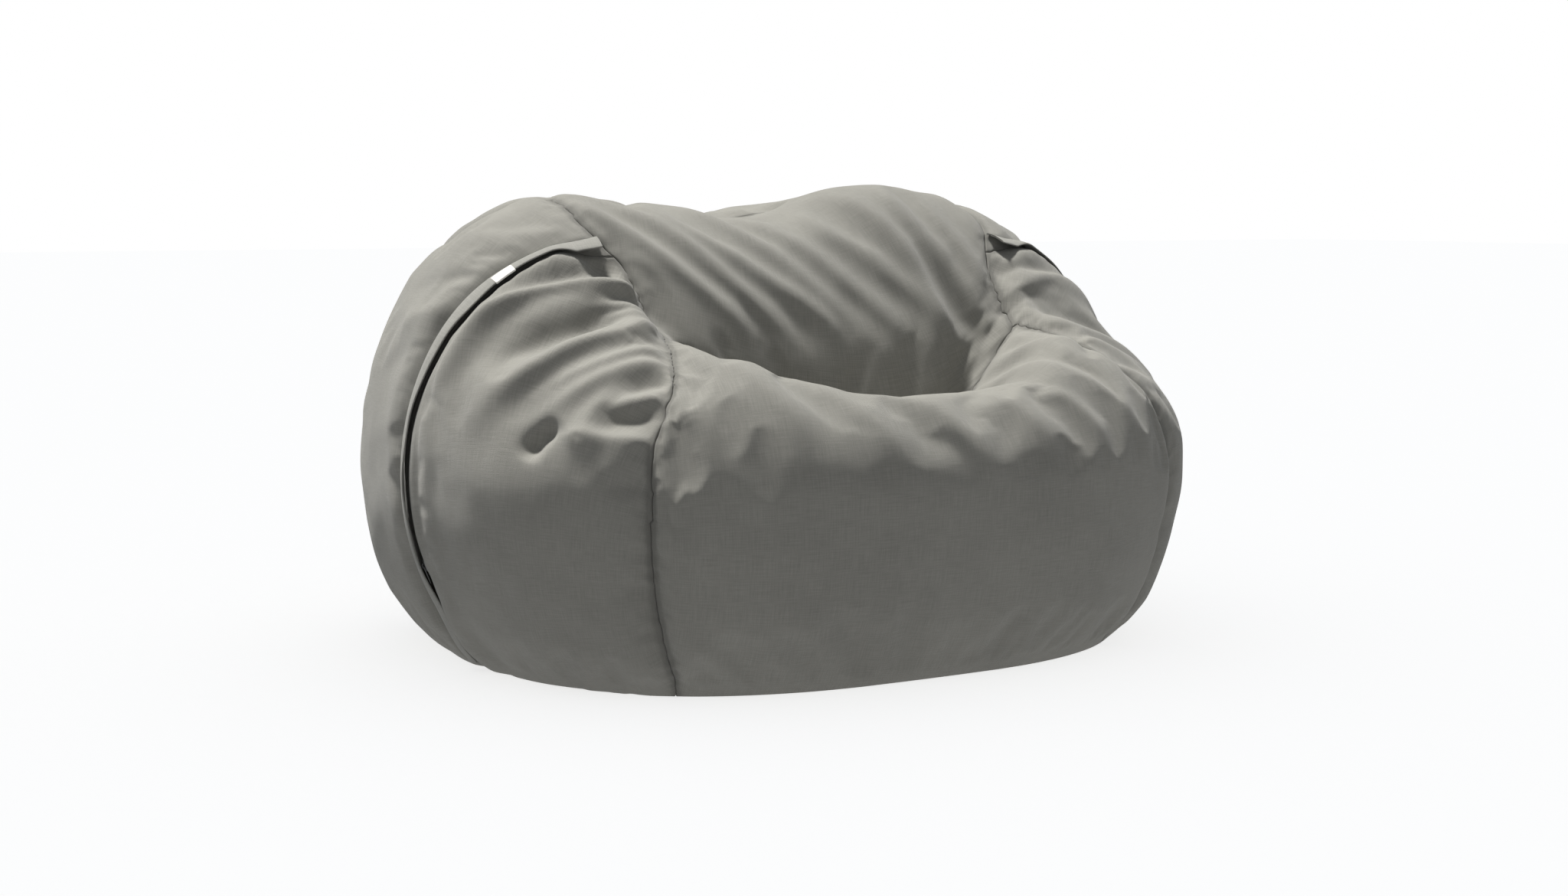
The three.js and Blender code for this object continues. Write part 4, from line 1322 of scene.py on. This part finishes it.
class BEANBAG_OT_side_zips(bpy.types.Operator):
    """Make each side zip's tapes and teeth"""

    bl_idname = "beanbag.side_zips"
    bl_label = "Side zips"

    def execute(self, context):
        settings = context.scene.beanbag_zips
        tape = tape_cloth(settings)
        plastic = teeth_plastic(settings)
        for side, turn in SIDES:
            for part, under, front, back in (("front", "arm", -0.0150, -0.0034),
                                             ("rear", "shoulder", 0.0034, 0.0150)):
                def place(u, v, front=front, back=back):
                    degrees = ZIP_LOW + (ZIP_HIGH - ZIP_LOW) * u
                    across = front + (back - front) * v
                    bead = 0.0003 * np.exp(-(((np.abs(across) - 0.0045) / 0.0007) ** 2))
                    return by_zip(degrees, np.full(len(u), ZIP_RADIUS - 0.0008) + bead, across)

                bm = grid_strip(150, 12, place)
                if turn < 0:
                    other_side(bm)
                piece = thicken(to_object(bm, f"{side}_zip_{part}_tape{MADE}"), 0.0009)
                finish(piece, tape)
            bm = bmesh.new()
            count = int(math.radians(ZIP_HIGH - ZIP_LOW) * ZIP_RADIUS / settings.tooth_pitch)
            for number in range(count):
                degrees = ZIP_LOW + (ZIP_HIGH - ZIP_LOW) * (number + 0.5) / count
                tooth = bmesh.ops.create_cube(bm, size=1.0)["verts"]
                bmesh.ops.scale(bm, vec=(0.0019, 0.0040, 0.0026), verts=tooth)
                lean = 0.00085 * (1.0 if number % 2 else -1.0)
                bmesh.ops.translate(bm, vec=(0.0, lean, -0.0007), verts=tooth)
                bmesh.ops.transform(bm, matrix=zip_matrix(degrees), verts=tooth)
            round_edges(bm, 0.0004)
            if turn < 0:
                other_side(bm)
            piece = to_object(bm, f"{side}_zip_teeth{MADE}")
            finish(piece, plastic)
        return {"FINISHED"}


def bar(bm, size, centre):
    """A bar of a size, round a centre."""
    made = bmesh.ops.create_cube(bm, size=1.0)["verts"]
    bmesh.ops.scale(bm, vec=size, verts=made)
    bmesh.ops.translate(bm, vec=centre, verts=made)
    return made


def slider_body(bm):
    """A slider lying along x: a plate over the teeth, flanges beside them, and a hoop for the pull."""
    plate = bar(bm, (0.016, 0.012, 0.002), (0.0, 0.0, 0.0022))
    for vertex in plate:
        if vertex.co.x > 0:
            vertex.co.y *= 0.78
    for side in (-1.0, 1.0):
        bar(bm, (0.0150, 0.0022, 0.0030), (-0.0005, side * 0.0047, 0.0013))
    round_edges(bm, 0.0005, 2)


def hoop(bm):
    """The hoop that holds the pull, standing on a slider's plate."""
    section = bmesh.ops.create_circle(bm, cap_ends=False, segments=10, radius=0.0010)["verts"]
    bmesh.ops.translate(bm, vec=(0.0034, 0.0, 0.0), verts=section)
    edges = list({edge for vertex in section for edge in vertex.link_edges})
    bmesh.ops.spin(bm, geom=section + edges, cent=(0.0, 0.0, 0.0), axis=(0.0, 1.0, 0.0), angle=-math.pi,
                   steps=14, use_merge=False)
    bmesh.ops.translate(bm, vec=(0.0, 0.0, 0.0031), verts=bm.verts[:])


class BEANBAG_OT_sliders(bpy.types.Operator):
    """Make each side zip's slider and pull"""

    bl_idname = "beanbag.sliders"
    bl_label = "Sliders and pulls"

    def execute(self, context):
        settings = context.scene.beanbag_zips
        metal = slider_metal(settings)
        matrix = zip_matrix(settings.slider_angle)
        for side, turn in SIDES:
            bm = bmesh.new()
            hoop(bm)
            bmesh.ops.holes_fill(bm, edges=bm.edges[:], sides=12)
            body = bmesh.new()
            slider_body(body)
            join_in(bm, body)
            bmesh.ops.recalc_face_normals(bm, faces=bm.faces[:])
            bmesh.ops.transform(bm, matrix=matrix, verts=bm.verts[:])
            if turn < 0:
                other_side(bm)
            piece = to_object(bm, f"{side}_zip_slider{MADE}")
            finish(piece, metal, f"{side}_zip_slider")

            bm = bmesh.new()
            outer = bmesh.ops.create_circle(bm, cap_ends=False, segments=28, radius=1.0)["verts"]
            for vertex in outer:
                x, y = vertex.co.x, vertex.co.y
                grow = 1.0 / (abs(x) ** 5 + abs(y) ** 5) ** 0.2
                vertex.co = (x * grow * 0.0140 - 0.01325, y * grow * 0.0033, 0.0)
            inner = bmesh.ops.create_circle(bm, cap_ends=False, segments=28, radius=1.0)["verts"]
            for vertex in inner:
                x, y = vertex.co.x, vertex.co.y
                grow = 1.0 / (abs(x) ** 4 + abs(y) ** 4) ** 0.25
                vertex.co = (x * grow * 0.0037 - 0.0045, y * grow * 0.0018, 0.0)
            bmesh.ops.bridge_loops(bm, edges=bm.edges[:])
            bmesh.ops.recalc_face_normals(bm, faces=bm.faces[:])
            bmesh.ops.solidify(bm, geom=bm.faces[:], thickness=0.0014)
            bmesh.ops.recalc_face_normals(bm, faces=bm.faces[:])
            bmesh.ops.translate(bm, vec=(0.0, 0.0, 0.0047 - sum(v.co.z for v in bm.verts) / len(bm.verts)),
                                verts=bm.verts[:])
            bmesh.ops.transform(bm, matrix=matrix, verts=bm.verts[:])
            if turn < 0:
                other_side(bm)
            piece = to_object(bm, f"{side}_zip_pull{MADE}")
            edge = piece.modifiers.new("edge", "BEVEL")
            edge.width = 0.0003
            edge.segments = 2
            apply_modifiers(piece)
            finish(piece, metal, f"{side}_zip_pull")
        return {"FINISHED"}


def layer_of_bag(cells, depth):
    """The smooth bag at a depth inside the cover, flat on the floor's side."""
    bm = round_grid(cells)
    points, normals = places(bm), normals_of(bm)
    lift = cover_lift(points, normals, 1.0)
    free = (1.0 - zip_cover_hold(points)) * smooth((points[:, 2] - 0.01) / 0.05)
    pressed = np.minimum(lift, 0.0) - 0.007 * free
    points = points + normals * (pressed - depth)[:, None]
    points[:, 2] = np.maximum(points[:, 2], depth)
    move_to(bm, points)
    bm.normal_update()
    return bm


def box_map(piece, name="cloth"):
    """A UV map in metres, laid from the three sides."""
    mesh = piece.data
    layer = mesh.uv_layers.get(name) or mesh.uv_layers.new(name=name)
    for polygon in mesh.polygons:
        normal = [abs(c) for c in polygon.normal]
        flat = [axis for axis in range(3) if axis != normal.index(max(normal))]
        for loop in polygon.loop_indices:
            co = mesh.vertices[mesh.loops[loop].vertex_index].co
            layer.data[loop].uv = (co[flat[0]], co[flat[1]])


LINER_ZIP_LONG, LINER_ZIP_WIDE = 0.2605, 0.0123


class BEANBAG_OT_liner(bpy.types.Operator):
    """Make the liner's two halves"""

    bl_idname = "beanbag.liner"
    bl_label = "Liner"

    def execute(self, context):
        settings = context.scene.beanbag_inside
        cloth = shared("liner_cloth", lambda name: woven(name, settings.liner_colour[:], 0.0007, 0.04, 0.25,
                                                         0.9, 0.1))
        underside = settings.liner_depth + 0.004
        for name, facing in (("liner_front", 1.0), ("liner_rear", -1.0)):
            bm = layer_of_bag(44, settings.liner_depth)
            points = places(bm)
            points = points + normals_of(bm) * (0.0010 * waves(points, 20, 0.10, 0.04, 31) - 0.0005)[:, None]
            points[:, 2] = np.maximum(points[:, 2], settings.liner_depth)
            move_to(bm, points)
            bmesh.ops.bisect_plane(bm, geom=bm.verts[:] + bm.edges[:] + bm.faces[:],
                                   plane_co=(0.0, -0.0002 * facing, 0.0),
                                   plane_no=(0.0, facing, 0.0), clear_outer=True)
            for place, direction in (((-LINER_ZIP_LONG, 0.0, 0.0), (1.0, 0.0, 0.0)),
                                     ((LINER_ZIP_LONG, 0.0, 0.0), (1.0, 0.0, 0.0)),
                                     ((0.0, -LINER_ZIP_WIDE * facing, 0.0), (0.0, 1.0, 0.0))):
                low = [face for face in bm.faces if face.calc_center_median().z < underside]
                geom = low + list({e for f in low for e in f.edges}) + list({v for f in low for v in f.verts})
                bmesh.ops.bisect_plane(bm, geom=geom, plane_co=place, plane_no=direction)
            slot = [face for face in bm.faces
                    if face.calc_center_median().z < underside
                    and abs(face.calc_center_median().x) < LINER_ZIP_LONG
                    and abs(face.calc_center_median().y) < LINER_ZIP_WIDE]
            bmesh.ops.delete(bm, geom=slot, context="FACES")
            piece = thicken(to_object(bm, name + MADE), 0.0008, even=False)
            box_map(piece)
            finish(piece, cloth)
        return {"FINISHED"}


class BEANBAG_OT_liner_zip(bpy.types.Operator):
    """Make the liner's own zip, with a slider that has no pull"""

    bl_idname = "beanbag.liner_zip"
    bl_label = "Liner zip"

    def execute(self, context):
        settings = context.scene.beanbag_zips
        tape = tape_cloth(settings)
        plastic = teeth_plastic(settings)
        metal = slider_metal(settings)
        for part, front, back in (("front", -0.0120, -0.0033), ("rear", 0.0033, 0.0120)):
            def place(u, v, front=front, back=back):
                return np.stack([-0.260 + 0.520 * u, front + (back - front) * v, np.full(len(u), 0.0134)],
                                axis=1)

            piece = thicken(to_object(grid_strip(120, 8, place), f"liner_zip_{part}_tape{MADE}"), 0.0010)
            finish(piece, tape)
        bm = bmesh.new()
        count = int(0.52 / settings.tooth_pitch)
        for number in range(count):
            lean = 0.0008 * (1.0 if number % 2 else -1.0)
            bar(bm, (0.0019, 0.0040, 0.0024), (-0.26 + 0.52 * (number + 0.5) / count, lean, 0.0125))
        round_edges(bm, 0.0004)
        piece = to_object(bm, "liner_zip_teeth" + MADE)
        finish(piece, plastic)
        bm = bmesh.new()
        plate = bar(bm, (0.014, 0.011, 0.0018), (0.0, 0.0, 0.0085))
        for vertex in plate:
            if vertex.co.x > 0:
                vertex.co.y *= 0.8
        for side in (-1.0, 1.0):
            bar(bm, (0.013, 0.0018, 0.0030), (-0.0004, side * 0.0044, 0.0101))
        round_edges(bm, 0.0004, 2)
        bmesh.ops.translate(bm, vec=(-0.240, 0.0, 0.0), verts=bm.verts[:])
        piece = to_object(bm, "liner_zip_slider" + MADE)
        finish(piece, metal, "liner_zip_slider")
        return {"FINISHED"}


class BEANBAG_OT_filling(bpy.types.Operator):
    """Make the bead filling"""

    bl_idname = "beanbag.filling"
    bl_label = "Bead filling"

    def execute(self, context):
        settings = context.scene.beanbag_inside
        bm = layer_of_bag(60, settings.filling_depth)
        points = places(bm)
        points = points + normals_of(bm) * (0.0008 * waves(points, 30, 0.09, 0.03, 41) - 0.0008)[:, None]
        points[:, 2] = np.maximum(points[:, 2], settings.filling_depth)
        move_to(bm, points)
        piece = to_object(bm, "bead_filling" + MADE)
        finish(piece, shared("foam_beads", lambda name: beaded(name, settings.bead_colour[:])))
        return {"FINISHED"}


class BEANBAG_OT_stage(bpy.types.Operator):
    """Make the pale floor, the lights and the camera"""

    bl_idname = "beanbag.stage"
    bl_label = "Stage"

    def execute(self, context):
        settings = context.scene.beanbag_stage
        scene = context.scene
        bm = bmesh.new()
        bmesh.ops.create_grid(bm, x_segments=8, y_segments=8, size=30.0)
        floor = to_object(bm, "floor")
        material, nodes, links, shader = nodes_for("pale_floor")
        shader.inputs["Base Color"].default_value = (0.85, 0.85, 0.85, 1.0)
        shader.inputs["Roughness"].default_value = 0.9
        shader.inputs["Specular IOR Level"].default_value = 0.0
        shader.inputs["Emission Color"].default_value = (1.0, 1.0, 1.0, 1.0)
        seen = nodes.new("ShaderNodeLightPath").outputs["Is Camera Ray"]
        glow = math_node(nodes, links, "ADD", math_node(nodes, links, "MULTIPLY", seen, 0.30), 0.40)
        links.new(glow, shader.inputs["Emission Strength"])
        floor.data.materials.append(material)

        world = bpy.data.worlds.new("studio")
        world.use_nodes = True
        scene.world = world
        nodes, links = world.node_tree.nodes, world.node_tree.links
        background = nodes["Background"]
        path = nodes.new("ShaderNodeLightPath")
        white = nodes.new("ShaderNodeBackground")
        white.inputs["Color"].default_value = (1.0, 1.0, 1.0, 1.0)
        white.inputs["Strength"].default_value = 1.0
        background.inputs["Color"].default_value = (0.96, 0.98, 1.0, 1.0)
        background.inputs["Strength"].default_value = settings.fill
        mix = nodes.new("ShaderNodeMixShader")
        links.new(path.outputs["Is Camera Ray"], mix.inputs[0])
        links.new(background.outputs[0], mix.inputs[1])
        links.new(white.outputs[0], mix.inputs[2])
        links.new(mix.outputs[0], nodes["World Output"].inputs["Surface"])
        scene.view_settings.view_transform = "Standard"

        sun = bpy.data.lights.new("key", "SUN")
        sun.energy = settings.key
        sun.angle = math.radians(9.0)
        sun.color = (1.0, 0.985, 0.95)
        key = bpy.data.objects.new("key", sun)
        key.rotation_euler = Vector((-0.13, 0.33, 0.93)).to_track_quat("Z", "Y").to_euler()
        scene.collection.objects.link(key)
        unlit = bpy.data.collections.new("not_lit_by_key")
        unlit.objects.link(floor)
        key.light_linking.receiver_collection = unlit
        unlit.collection_objects[0].light_linking.link_state = "EXCLUDE"

        turn, lift = math.radians(settings.azimuth), math.radians(settings.elevation)
        back = Vector((math.sin(turn) * math.cos(lift), -math.cos(turn) * math.cos(lift), math.sin(lift)))
        target = Vector((0.019, 0.0, 0.282))
        lens = bpy.data.cameras.new("camera")
        lens.lens = settings.lens
        lens.sensor_width = 36.0
        camera = bpy.data.objects.new("camera", lens)
        camera.location = target + back * settings.distance
        camera.rotation_euler = back.to_track_quat("Z", "Y").to_euler()
        scene.collection.objects.link(camera)
        scene.camera = camera
        return {"FINISHED"}


class BEANBAG_PT_panel(bpy.types.Panel):
    """Lists the pieces and their settings"""

    bl_idname = "BEANBAG_PT_panel"
    bl_label = "Bean Bag Chair"
    bl_space_type = "VIEW_3D"
    bl_region_type = "UI"
    bl_category = "Bean Bag"

    def draw(self, context):
        scene = context.scene
        for title, group in (("Cover", scene.beanbag_cover), ("Zips", scene.beanbag_zips),
                             ("Inside", scene.beanbag_inside), ("Stage", scene.beanbag_stage)):
            box = self.layout.box()
            box.label(text=title)
            for name in group.__annotations__:
                box.prop(group, name)
        for operator in OPERATORS:
            self.layout.operator(operator.bl_idname)


SETTINGS = {
    "beanbag_cover": BeanBagCoverSettings,
    "beanbag_zips": BeanBagZipSettings,
    "beanbag_inside": BeanBagInsideSettings,
    "beanbag_stage": BeanBagStageSettings,
}
OPERATORS = (BEANBAG_OT_cover, BEANBAG_OT_flaps, BEANBAG_OT_label, BEANBAG_OT_side_zips, BEANBAG_OT_sliders,
             BEANBAG_OT_liner, BEANBAG_OT_liner_zip, BEANBAG_OT_filling, BEANBAG_OT_stage)


def register():
    for group in SETTINGS.values():
        bpy.utils.register_class(group)
    for name, group in SETTINGS.items():
        setattr(bpy.types.Scene, name, PointerProperty(type=group))
    for operator in OPERATORS:
        bpy.utils.register_class(operator)
    bpy.utils.register_class(BEANBAG_PT_panel)


def unregister():
    bpy.utils.unregister_class(BEANBAG_PT_panel)
    for operator in reversed(OPERATORS):
        bpy.utils.unregister_class(operator)
    for name in SETTINGS:
        delattr(bpy.types.Scene, name)
    for group in reversed(list(SETTINGS.values())):
        bpy.utils.unregister_class(group)


def main():
    register()
    bpy.ops.beanbag.cover()
    bpy.ops.beanbag.flaps()
    bpy.ops.beanbag.label()
    bpy.ops.beanbag.side_zips()
    bpy.ops.beanbag.sliders()
    bpy.ops.beanbag.liner()
    bpy.ops.beanbag.liner_zip()
    bpy.ops.beanbag.filling()
    bpy.ops.beanbag.stage()


if __name__ == "__main__":
    main()
